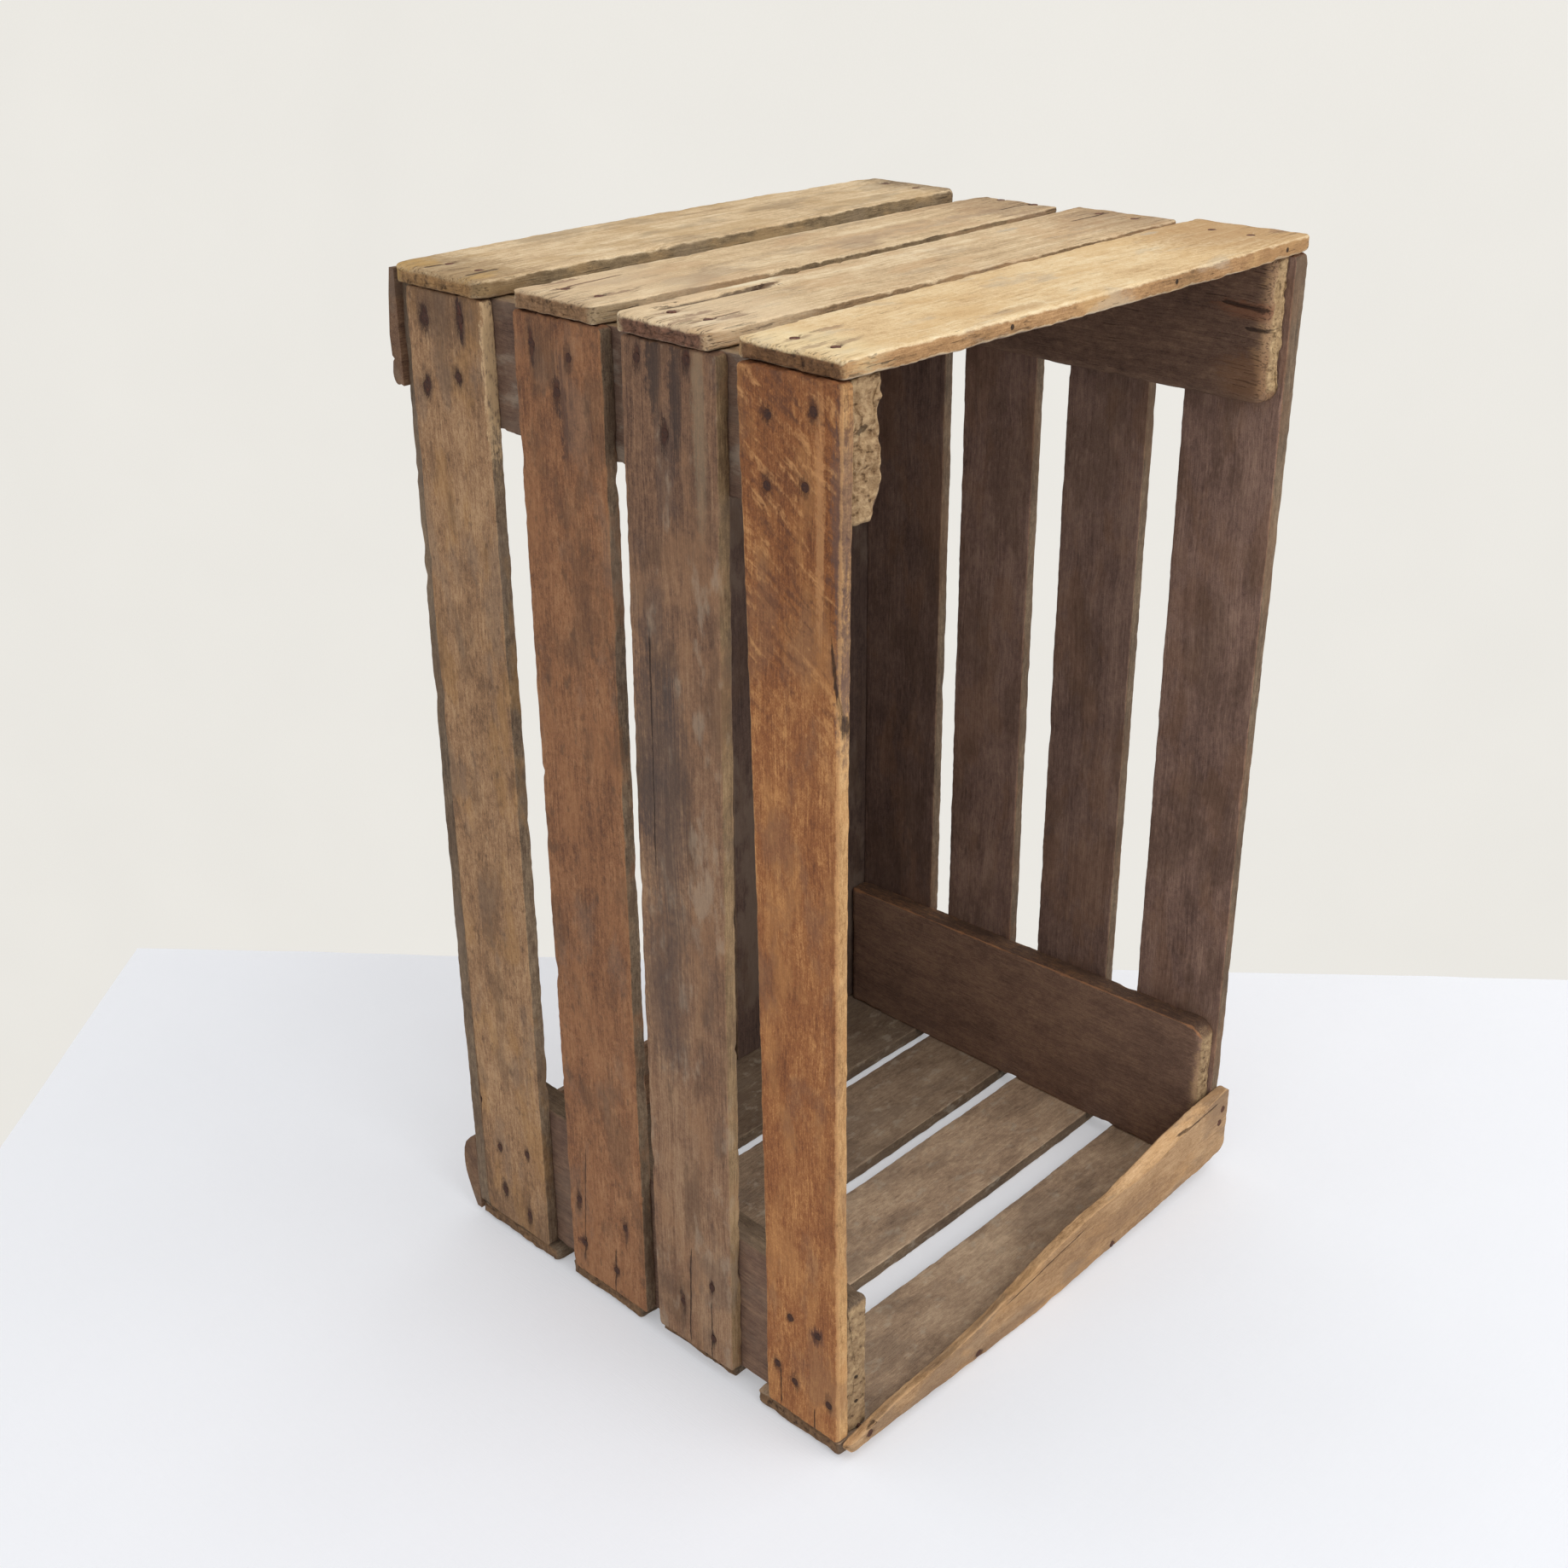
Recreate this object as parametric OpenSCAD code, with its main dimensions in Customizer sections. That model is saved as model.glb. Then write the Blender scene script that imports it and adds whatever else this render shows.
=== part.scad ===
// Old slatted fruit crate, stood on one of its short ends with the open side facing -Y.
// Every wall is four thin sawn slats; four corner cleats, a boarded base and two outer
// battens hold it together with wire nails, and a broken lid slat is left on one rim.
// In the crate's own corner frame x runs across it from the left wall, y runs from the
// open side to the base, and z runs up from the end that it stands on.

/* [Crate] */
// Width across the two long walls
crate_w = 364; // [350:1:380]
// Depth from the open side to the inner face of the base boards
crate_d = 302; // [298:1:306]
// Length of the crate, which stands upright here
crate_h = 600; // [560:1:640]

/* [Wood] */
// Thickness of the long walls' slats
side_t = 8; // [7:0.5:10]
// Thickness of the short ends' slats
end_t = 9; // [8:0.5:10]
// Thickness of the base boards
base_t = 9.5; // [8:0.5:11]
// Rounding of the slats' worn corners, seen on the broad face
corner_r = 5; // [2:0.5:8]

/* [Left wall] */
// Slat widths at the upper end, from the base to the open side
left_widths = [62, 64, 63, 63]; // [58:0.5:68]
// Gaps between those slats at the upper end
left_gaps = [24, 13.5, 11.5]; // [8:0.5:26]
// How far each slat's front edge has moved back by the lower end
left_front_skew = [3, 2, 7, 0]; // [-2:0.5:8]
// How far each slat's rear edge has moved back by the lower end
left_rear_skew = [0, 3.5, 5.5, -9]; // [-9:0.5:6]

/* [Right wall] */
// Slat widths at the upper end, from the base to the open side
right_widths = [64, 55.5, 57, 63]; // [54:0.5:72]
// Gaps between those slats at the upper end
right_gaps = [15.5, 23, 23]; // [8:0.5:24]
// How far each slat's front edge has moved back by the lower end
right_front_skew = [0.5, 0.5, 0.5, 0]; // [-2:0.5:4]
// How far each slat's rear edge has moved back by the lower end
right_rear_skew = [0, 0.5, 0.5, -1]; // [-3:0.5:3]
// How much thicker the front slat is at its top, where the saw ran out
right_flare = 4.5; // [0:0.5:5]

/* [Upper end] */
// Slat widths at the left side, from the base to the open side
top_widths = [73.5, 59, 63, 64.5]; // [56:0.5:76]
// Gaps between those slats at the left side
top_gaps = [23, 13, 14]; // [8:0.5:25]
// How far each front edge has moved back at the right side
top_front_skew = [-2, -2, -1.5, -0.5]; // [-3:0.5:8]
// How far each rear edge has moved back at the right side
top_rear_skew = [-8.5, -6, 2, 8]; // [-9:0.5:8]
// Overhang of each slat past the left wall, less than nothing where it stops short
top_overhang = [3, 1.5, 2.5, -1]; // [-2:0.5:5]
// Length of each slat
top_lengths = [366, 354, 364, 372]; // [350:1:377]

/* [Lower end] */
// Slat widths at the left side, from the base to the open side
floor_widths = [74, 63, 61, 62.5]; // [60:0.5:76]
// Gaps between those slats at the left side
floor_gaps = [13, 14, 22]; // [8:0.5:24]
// How far each front edge has moved back at the right side
floor_front_skew = [0, 0, 0, 2]; // [-2:0.5:4]
// How far each rear edge has moved back at the right side
floor_rear_skew = [0, 1, 0.5, 2]; // [-2:0.5:4]
// How far each slat's left end stops short of the left wall's outer face
floor_inset = [0.5, 1.5, 5, 0.5]; // [0:0.5:6]
// Length of each slat
floor_lengths = [363, 362, 359, 362]; // [350:1:364]

/* [Base] */
// Board widths from the left wall, the fifth board takes what is left
base_widths = [53, 57, 56, 62]; // [50:1:64]
// Gaps between the boards from the left wall
base_gaps = [24, 18, 15, 18]; // [12:1:24]
// Thickness of the upper batten
upper_batten_t = 8.5; // [7:0.5:9]
// Thickness of the lower batten where it swells
lower_batten_t = 13.5; // [11:0.5:13.5]

/* [Cleats] */
// Thickness of the left wall's upper and lower cleats
left_cleat_t = [21, 17]; // [15:0.5:22]
// Thickness of the right wall's upper and lower cleats
right_cleat_t = [16, 15]; // [15:0.5:20]
// Widths of the left wall's upper and lower cleats at the open side
left_cleat_w = [67, 88]; // [60:1:90]
// Widths of the right wall's upper and lower cleats at the open side
right_cleat_w = [80, 103]; // [60:1:105]

/* [Lid slat] */
// Thickness of the broken lid slat
lid_t = 7; // [6:0.5:7]
// Overhang of the lid slat past the right wall
lid_overhang = 6; // [4:0.5:8]

/* [Nails] */
// Diameter of the nail heads
head_d = 4.6; // [4:0.1:5]
// Diameter of the nail shanks
shank_d = 2.2; // [1.8:0.1:2.4]
// How far the heads are driven below the wood
head_sunk = 0.4; // [0.3:0.1:0.6]

/* [Hidden] */
$fn = 24;

// Points on a rounded corner and along one long edge of a slat
corner_steps = 4;
edge_steps = 8;
// The open side's rim, where the walls' front edges stand
rim_y = 1;
// Faces that several pieces share
wall_h = crate_h - 2 * end_t;
wall_z = end_t;
base_y = crate_d;
base_back = base_y + base_t;
lid_front = rim_y - lid_t;
rear_reach = base_back + lower_batten_t;
lid_right = crate_w + lid_overhang;
right_reach = max(lid_right, top_lengths[3] - top_overhang[3]);
left_reach = max(top_overhang);
// Middle of the whole crate, which stands on the origin
mid_x = (right_reach - left_reach) / 2;
mid_y = (rear_reach + lid_front) / 2;

// Nails of the left wall's slats as [y, z], driven anyhow through each end into the cleats
left_nails_at = [
    [[287, 576], [258, 579], [290, 541], [263, 549], [286, 63], [259, 71], [284, 32], [261, 24]],
    [[203, 576], [186, 555], [176, 573], [211, 63], [208, 32], [180, 27], [170, 64]],
    [[128, 581], [95, 585], [111, 549], [122, 38], [98, 62], [98, 25]],
    [[45, 570], [18, 576], [46, 538], [23, 542], [37, 77], [17, 76], [34, 34], [47, 39], [9, 33]]
];
// Nails of the right wall: rows below the upper end and above the lower end, and their
// inset from the slats' long edges
nail_rows_up = [24, 56];
nail_rows_low = [30, 67];
nail_inset = 16;
head_t = 1;
tip_h = 2.5;
hole_clear = 3;
side_nail = 22;
end_nail = 21.5;
// Nails through the battens: heights at the upper and lower ends, and their spread
batten_nail_up = 560;
batten_nail_low = 34;
batten_nail_rise = 9;
batten_nail_spread = 13;
batten_nail_in_board = 16;
batten_nail_in_board_low = 20.5;
cleat_nail = 38;
// Nails of the lid slat as [x, z]: one in the left cleat, two in the lower end, and two
// in the right wall
lid_nails_at = [[18, 11], [112, 5.2], [243, 6.6], [359, 36.5], [361.5, 46]];
lid_nail = 24;
// Empty nail holes that other lid slats left behind
old_hole_depth = 16;
old_rim_holes_x = [110, 239, 344];
old_cleat_holes_z = [29, 46];

side_wood = ["#8a735a", "#7d5640", "#7c6553", "#a07048"];
top_wood = ["#cdb48e", "#c9ae88", "#cbb188", "#d2b787"];
floor_wood = "#8b7560";
inner_wood = "#6e5646";
base_wood = "#5f4a3e";
batten_wood = "#746456";
lid_wood = "#a98559";
nail_iron = "#3b2d26";

// A long edge is [start, end, bow]: straight between its ends but for a bow in the middle
function edge_at(e, s) = e[0] + (e[1] - e[0]) * s + 4 * e[2] * s * (1 - s);

// Rear edge of slat i at its first end, counted from the base towards the open side
function rear_of(from, widths, gaps, i) =
    i == 0 ? from : rear_of(from, widths, gaps, i - 1) - widths[i - 1] - gaps[i - 1];

// One quarter turn of a corner of radius r about the point c, starting at the angle a
function corner(c, r, a) =
    [for (i = [0:corner_steps]) c + r * [cos(a + 90 * i / corner_steps), sin(a + 90 * i / corner_steps)]];

// Outline of a slat of length len between a lower and an upper edge, with rounded corners
function slat_outline(len, lo, hi, r) = concat(
    corner([r, edge_at(lo, r / len) + r], r, 180),
    [for (i = [1:edge_steps - 1]) let(s = i / edge_steps) [s * len, edge_at(lo, s)]],
    corner([len - r, edge_at(lo, 1 - r / len) + r], r, 270),
    corner([len - r, edge_at(hi, 1 - r / len) - r], r, 0),
    [for (i = [1:edge_steps - 1]) let(s = 1 - i / edge_steps) [s * len, edge_at(hi, s)]],
    corner([r, edge_at(hi, r / len) - r], r, 90));

module slat(len, lo, hi, thick, r = corner_r)
    linear_extrude(thick) polygon(slat_outline(len, lo, hi, r));

// Stand a piece drawn along X on its end, keeping its width along Y
module upright() rotate([0, -90, 0]) children();
// Stand a piece drawn along X on its end, with its width along X and its thickness along Y
module upright_across() rotate([-90, -90, 0]) children();
// Put a piece drawn in a plane of Y and Z across the crate
module across() rotate([90, 0, 90]) children();
// Stand a piece drawn along X on its long edge, with its thickness towards -Y
module on_edge() rotate([90, 0, 0]) children();
// Bring the corner frame's middle to the origin
module centred() translate([-mid_x, -mid_y, 0]) children();

// A wire nail driven towards -Z, with the top of its head at the origin
module nail(len) {
    translate([0, 0, -head_t]) cylinder(d = head_d, h = head_t);
    translate([0, 0, tip_h - len]) cylinder(d = shank_d, h = len - tip_h - head_t);
    translate([0, 0, -len]) cylinder(d1 = shank_d / 5, d2 = shank_d, h = tip_h);
}

// The hole that a driven nail fills, open to the wood's surface above its head
module nail_hole(len) {
    nail(len);
    cylinder(d = head_d, h = hole_clear);
}

// Drawn nails or their holes, as the flag says
module driven(len, hole) {
    translate([0, 0, -head_sunk]) {
        if (hole) nail_hole(len);
        else nail(len);
    }
}

// Bows of each slat's [front edge, rear edge], which are sawn by eye
left_bows = [[0, 0], [0, 0], [0.5, 1], [2, -2.5]];
right_bows = [[0, 0], [0.5, 0], [0, 0], [0, 0]];
top_bows = [[0, 5.5], [-6, 0], [-2.5, -3], [-3, 1.5]];
floor_bows = [[0, 0], [-2.5, 0], [-2, -2], [0, -3.5]];

// Edges of slat i of a row: [front edge, rear edge], each as [start, end, bow]
function slat_edges(from, widths, gaps, front_skew, rear_skew, bows, i) =
    let(rear = rear_of(from, widths, gaps, i), front = rear - widths[i])
    [[front, front + front_skew[i], bows[i][0]], [rear, rear + rear_skew[i], bows[i][1]]];
function left_edges(i) =
    slat_edges(base_y, left_widths, left_gaps, left_front_skew, left_rear_skew, left_bows, i);
function right_edges(i) =
    slat_edges(base_y, right_widths, right_gaps, right_front_skew, right_rear_skew, right_bows, i);
function top_edges(i) =
    slat_edges(base_back, top_widths, top_gaps, top_front_skew, top_rear_skew, top_bows, i);
function floor_edges(i) =
    slat_edges(base_back, floor_widths, floor_gaps, floor_front_skew, floor_rear_skew, floor_bows, i);

// A long wall's nails are driven through its outer face, here at x = 0, into both cleats
module wall_nail(y, z, hole) translate([0, y, z]) rotate([0, -90, 0]) driven(side_nail, hole);
module left_wall_nails(i, hole) for (p = left_nails_at[i]) wall_nail(p[0], p[1], hole);
module right_wall_nails(i, hole) {
    edges = right_edges(i);
    for (z = concat([for (row = nail_rows_up) crate_h - row], nail_rows_low)) {
        s = (crate_h - z) / crate_h;
        out = crate_w + (i == 3 ? flare_at(z) : 0);
        for (y = [edge_at(edges[0], s) + nail_inset, edge_at(edges[1], s) - nail_inset])
            translate([out, 0, 0]) mirror([1, 0, 0]) wall_nail(y, z, hole);
    }
}

// A slat of a long wall, its first end at the top, between the two short ends
module wall_slat(edges)
    translate([side_t, 0, wall_z + wall_h]) mirror([0, 0, 1]) upright()
        slat(wall_h, edges[0], edges[1], side_t, corner_r / 2);

module left_slat(i) color(side_wood[i]) difference() {
    wall_slat(left_edges(i));
    left_wall_nails(i, true);
}

// The right wall's front slat grows thicker from its middle to its top
function flare_at(z) = right_flare * max(0, z - crate_h / 2) / (crate_h / 2);
module flared_slat(edges) intersection() {
    translate([crate_w - side_t, 0, wall_z + wall_h]) mirror([0, 0, 1]) mirror([1, 0, 0]) upright()
        slat(wall_h, edges[0], edges[1], 2 * side_t, corner_r / 2);
    translate([crate_w, crate_d, 0]) on_edge() linear_extrude(crate_d)
        polygon([[-side_t, 0], [0, 0], [0, crate_h / 2], [flare_at(crate_h), crate_h],
                 [-side_t, crate_h]]);
}

module right_slat(i) color(inner_wood) difference() {
    if (i == 3) flared_slat(right_edges(i));
    else translate([crate_w - side_t, 0, 0]) wall_slat(right_edges(i));
    right_wall_nails(i, true);
    if (i == 3) lid_slat_nails(true);
}

// The short ends' nails go in pairs through each slat end into a cleat's edge
end_nail_spread = 12;
module end_nails(edges, x_left, x_right, hole) {
    for (x = [x_left, x_right]) {
        s = x / crate_w;
        middle = (edge_at(edges[0], s) + edge_at(edges[1], s)) / 2;
        for (side = [-1, 1])
            translate([x, middle + side * end_nail_spread, 0]) driven(end_nail, hole);
    }
}
module top_slat_nails(i, hole)
    translate([0, 0, crate_h])
        end_nails(top_edges(i), side_t + left_cleat_t[0] / 2,
                  crate_w - side_t - right_cleat_t[0] / 2, hole);
module floor_slat_nails(i, hole)
    mirror([0, 0, 1])
        end_nails(floor_edges(i), side_t + left_cleat_t[1] / 2,
                  crate_w - side_t - right_cleat_t[1] / 2, hole);

// The split at the left end of the third top slat, where a long chip has lifted
module top_split() {
    split_x = side_t + 24;
    split_y = 134.6;
    split_len = 92;
    sag = -1.4;
    rise = 1.8;
    open = 1;
    translate([split_x, split_y, 0]) linear_extrude(end_t)
        polygon([[0, 0], [split_len * 0.5, sag], [split_len, rise],
                 [split_len * 0.96, rise + open], [split_len * 0.5, sag + open]]);
}

module top_slat(i) color(top_wood[i]) difference() {
    translate([-top_overhang[i], 0, crate_h - end_t])
        slat(top_lengths[i], top_edges(i)[0], top_edges(i)[1], end_t, corner_r / 2);
    top_slat_nails(i, true);
    if (i == 2) translate([0, 0, crate_h - end_t / 2]) top_split();
    if (i == 3) for (x = old_rim_holes_x)
        translate([x, top_edges(3)[0][0] - hole_clear, crate_h - end_t / 2]) rotate([-90, 0, 0])
            cylinder(d = shank_d, h = old_hole_depth);
}

module floor_slat(i) color(floor_wood) difference() {
    translate([floor_inset[i], 0, 0])
        slat(floor_lengths[i], floor_edges(i)[0], floor_edges(i)[1], end_t, corner_r / 2);
    floor_slat_nails(i, true);
    if (i == 3) lid_slat_nails(true);
}

// A cleat is a board flat against a long wall. Its outline in Y and Z has its front corner
// worn round, and its section in X and Z has its free inner edge rounded, like the round
// edge of the log it was sawn from; its free edge runs from w at the open side to w + grow
module cleat(w, grow, thick, front_r, edge_r) {
    front = rim_y + 2;
    intersection() {
        across() linear_extrude(thick)
            polygon(concat(
                [[front, 0], [base_y, 0], [base_y, w + grow]],
                [for (i = [0:corner_steps]) let(a = 90 + 90 * i / corner_steps)
                    [front + front_r + front_r * cos(a), w - front_r + front_r * sin(a)]]));
        translate([0, base_y, 0]) on_edge() linear_extrude(base_y - front)
            polygon(concat(
                [[0, w + max(grow, 0)], [0, 0], [thick, 0]],
                [for (i = [0:corner_steps]) let(a = 90 * i / corner_steps)
                    [thick - edge_r + edge_r * cos(a), w + max(grow, 0) - edge_r + edge_r * sin(a)]]));
    }
}
// The left cleats' inner faces look to +X and the right ones' to -X
module left_cleat(w, grow, thick, front_r, edge_r)
    translate([side_t, 0, 0]) cleat(w, grow, thick, front_r, edge_r);
module right_cleat(w, grow, thick, front_r, edge_r)
    translate([crate_w - side_t, 0, 0]) mirror([1, 0, 0]) cleat(w, grow, thick, front_r, edge_r);
module at_upper_end() translate([0, 0, crate_h - end_t]) mirror([0, 0, 1]) children();
module at_lower_end() translate([0, 0, end_t]) children();

module left_upper_cleat() color(inner_wood) difference() {
    at_upper_end()
        left_cleat(left_cleat_w[0], grow = 0, thick = left_cleat_t[0], front_r = 3, edge_r = 16);
    for (i = [0:3]) {
        left_wall_nails(i, true);
        top_slat_nails(i, true);
    }
    batten_nails(true);
}
module left_lower_cleat() color(inner_wood) difference() {
    at_lower_end()
        left_cleat(left_cleat_w[1], grow = 14, thick = left_cleat_t[1], front_r = 4, edge_r = 3);
    for (i = [0:3]) {
        left_wall_nails(i, true);
        floor_slat_nails(i, true);
    }
    batten_nails(true);
    lid_slat_nails(true);
    for (z = old_cleat_holes_z)
        translate([side_t + left_cleat_t[1] / 2, 0, z]) rotate([-90, 0, 0])
            cylinder(d = shank_d, h = old_hole_depth);
}
module right_upper_cleat() color(inner_wood) difference() {
    at_upper_end()
        right_cleat(right_cleat_w[0], grow = -2, thick = right_cleat_t[0], front_r = 8, edge_r = 7);
    for (i = [0:3]) {
        right_wall_nails(i, true);
        top_slat_nails(i, true);
    }
    batten_nails(true);
}
module right_lower_cleat() color(inner_wood) difference() {
    at_lower_end()
        right_cleat(right_cleat_w[1], grow = -9, thick = right_cleat_t[1], front_r = 10, edge_r = 3);
    right_cleat_wane();
    for (i = [0:3]) {
        right_wall_nails(i, true);
        floor_slat_nails(i, true);
    }
    batten_nails(true);
}
// The bark edge of the right lower cleat, missing along the floor of the crate
module right_cleat_wane() {
    inner = crate_w - side_t - right_cleat_t[1];
    wane_w = 5;
    wane_h = 9;
    translate([0, base_y + 1, end_t]) on_edge() linear_extrude(base_y + 2)
        polygon([[inner - 1, -1], [inner + wane_w, -1], [inner + wane_w, 1],
                 [inner + wane_w - 2, wane_h - 4], [inner - 1, wane_h]]);
}

// Base boards run the crate's length, between the end slats that cover their ends
function base_left(i) = i == 0 ? 0 : base_left(i - 1) + base_widths[i - 1] + base_gaps[i - 1];
function base_right(i) = i == 4 ? crate_w : base_left(i) + base_widths[i];
// How far the boards' left edges lean to the right at the upper end, and their bows
base_lean = [5, 0, 0, 0, 0];
base_bows = [[-1.6, 0], [1, -1], [-1, 1], [1.5, 0], [-1, 0]];

module base_board(i) color(base_wood) difference() {
    translate([0, base_y, wall_z]) upright_across()
        slat(wall_h, [base_left(i), base_left(i) + base_lean[i], base_bows[i][0]],
             [base_right(i), base_right(i), base_bows[i][1]], base_t, corner_r / 3);
    batten_nails(true);
}

// Batten nails: one into a cleat's end at each side, one more in each outer board and
// two in each middle board
module batten_nails(hole) {
    // The battens' faces stand a little lower at the nails than where they are thickest
    heads_up = base_back + upper_batten_t - 1;
    heads_low = base_back + lower_batten_t - 0.3;
    outer_low = heads_low - 0.9;
    outer_rise = 11;
    for (x = [side_t + left_cleat_t[0] / 2, crate_w - side_t - right_cleat_t[0] / 2])
        batten_nail(x, heads_up, batten_nail_up, cleat_nail, hole);
    for (x = [side_t + left_cleat_t[1] / 2, crate_w - side_t - right_cleat_t[1] / 2])
        batten_nail(x, outer_low, batten_nail_low + outer_rise, cleat_nail, hole);
    for (i = [0:4]) {
        middle = (base_left(i) + base_right(i)) / 2;
        outer = i == 0 ? 1 : i == 4 ? -1 : 0;
        for (side = outer == 0 ? [-1, 1] : [outer]) {
            x = middle + side * batten_nail_spread;
            batten_nail(x, heads_up, batten_nail_up + side * batten_nail_rise,
                        batten_nail_in_board, hole);
            batten_nail(x, heads_low, batten_nail_low + side * batten_nail_rise / 2,
                        batten_nail_in_board_low, hole);
        }
    }
}
module batten_nail(x, y, z, len, hole)
    translate([x, y, z]) rotate([-90, 0, 0]) driven(len, hole);

// Upper batten: a thin, warped strip with a crack along it and a rounded lower edge
module upper_batten() color(batten_wood) difference() {
    thick = upper_batten_t;
    low = crate_h - 64;
    high = crate_h - 3;
    lip_r = 6;
    lip_mid = 0.55 * thick;
    crack_z = low + 13.5;
    translate([1, base_back, 0]) across() linear_extrude(crate_w - 2)
        polygon(concat(
            [[0, high], [0, low]],
            [for (a = [-30:20:90])
                [lip_mid + (thick - lip_mid) * sin(a), low + lip_r - lip_r * cos(a)]],
            [[thick - 1, crack_z - 1.5], [thick - 2.4, crack_z], [thick - 0.6, crack_z + 1.5],
             [thick, crack_z + 12.5], [thick - 2.5, high - 14], [thick - 5, high]]));
    upper_batten_skew_cut();
    batten_nails(true);
}
// The upper batten is nailed on askew, so its top edge falls away towards the right wall
module upper_batten_skew_cut() {
    fall = 9;
    translate([0, base_back + 2 * upper_batten_t, 0]) on_edge()
        linear_extrude(3 * upper_batten_t)
            polygon([[-1, crate_h - 3], [crate_w + 1, crate_h - 3 - fall],
                     [crate_w + 1, crate_h + 1], [-1, crate_h + 1]]);
}

// Share of the lower batten's bulge at the share s of its height: it swells as
// 0.3 + 1.9 s - 0.9 s^2, and past its shoulder it closes in a quarter ellipse
lower_batten_shoulder = 0.62;
function lower_swell(s) = min(1, 0.3 + 1.9 * s - 0.9 * s * s);
function lower_close(s) =
    sqrt(1 - pow(max(0, s - lower_batten_shoulder) / (1 - lower_batten_shoulder), 2));

// Lower batten: a half-round strip, thickest between its middle and its shoulder. The last
// point of its profile stays just short of the top, where the ellipse closes
module lower_batten() color(batten_wood) difference() {
    low = 3;
    high = 57;
    steps = 9;
    step_h = (high - low) / (steps + 0.3);
    translate([0.5, base_back, 0]) across() linear_extrude(crate_w - 1.5)
        polygon(concat(
            [[0, high], [0, low]],
            [for (i = [0:steps]) let(z = low + i * step_h, s = (z - low) / (high - low))
                [lower_batten_t * lower_swell(s) * lower_close(s), z]]));
    batten_nails(true);
}

// Broken lid slat: two layers of grain whose broken edges climb towards the right wall
lid_front_break = [[0, 13], [38, 19], [75, 20.5], [113, 25], [152, 33], [193, 40.5],
                   [225, 43.5], [268, 43], [290, 45], [320, 52], [342, 57]];
lid_back_break = [[0, 11], [38, 17], [83, 19], [122, 24], [161, 33.5], [202, 41.5],
                  [242, 44], [276, 51], [300, 56], [325, 58.5], [345, 60]];

// The lower edge from the left, chewed where the slat rests on the ground
lid_lower_edge = [[1, 8], [4, 5.5], [25, 5.5], [61, 4], [98, 2.5], [138, 0.4], [179, 0],
                  [222, 3], [267, 4.8], [314, 8], [350, 10]];

// Radius of the lid slat's far lower and upper corners, and the heights of their centres
lid_low_r = 12;
lid_low_z = 22;
lid_top_r = 7;
lid_top_z = 54;

function lid_outline(broken) = concat(
    lid_lower_edge,
    [for (a = [-75:15:0]) [lid_right - lid_low_r + lid_low_r * cos(a), lid_low_z + lid_low_r * sin(a)]],
    [for (a = [0:18:90]) [lid_right - lid_top_r + lid_top_r * cos(a), lid_top_z + lid_top_r * sin(a)]],
    [for (i = [len(broken) - 1:-1:1]) broken[i]],
    [[1, broken[0][1]]]);

module broken_lid_slat() color(lid_wood) difference() {
    union() {
        translate([0, rim_y, 0]) on_edge() linear_extrude(lid_t / 2)
            polygon(lid_outline(lid_back_break));
        translate([0, rim_y - lid_t / 2, 0]) on_edge() linear_extrude(lid_t / 2)
            polygon(lid_outline(lid_front_break));
    }
    lid_slat_nails(true);
}

module lid_slat_nails(hole)
    for (p = lid_nails_at)
        translate([p[0], lid_front, p[1]]) rotate([90, 0, 0]) driven(lid_nail, hole);

module left_nails() color(nail_iron) for (i = [0:3]) left_wall_nails(i, false);
module right_nails() color(nail_iron) for (i = [0:3]) right_wall_nails(i, false);
module top_nails() color(nail_iron) for (i = [0:3]) top_slat_nails(i, false);
module floor_nails() color(nail_iron) for (i = [0:3]) floor_slat_nails(i, false);
module base_nails() color(nail_iron) batten_nails(false);
module lid_nails() color(nail_iron) lid_slat_nails(false);

centred() left_slat(0);  // left_slat_1
centred() left_slat(1);  // left_slat_2
centred() left_slat(2);  // left_slat_3
centred() left_slat(3);  // left_slat_4
centred() right_slat(0);  // right_slat_1
centred() right_slat(1);  // right_slat_2
centred() right_slat(2);  // right_slat_3
centred() right_slat(3);  // right_slat_4
centred() top_slat(0);  // top_slat_1
centred() top_slat(1);  // top_slat_2
centred() top_slat(2);  // top_slat_3
centred() top_slat(3);  // top_slat_4
centred() floor_slat(0);  // floor_slat_1
centred() floor_slat(1);  // floor_slat_2
centred() floor_slat(2);  // floor_slat_3
centred() floor_slat(3);  // floor_slat_4
centred() left_upper_cleat();
centred() left_lower_cleat();
centred() right_upper_cleat();
centred() right_lower_cleat();
centred() base_board(0);  // base_board_1
centred() base_board(1);  // base_board_2
centred() base_board(2);  // base_board_3
centred() base_board(3);  // base_board_4
centred() base_board(4);  // base_board_5
centred() upper_batten();
centred() lower_batten();
centred() broken_lid_slat();
centred() left_nails();
centred() right_nails();
centred() top_nails();
centred() floor_nails();
centred() base_nails();
centred() lid_nails();
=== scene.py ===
"""An old slatted fruit crate: sawn slats with worn arrises and rusty wire nails, on a clothed table."""

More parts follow.
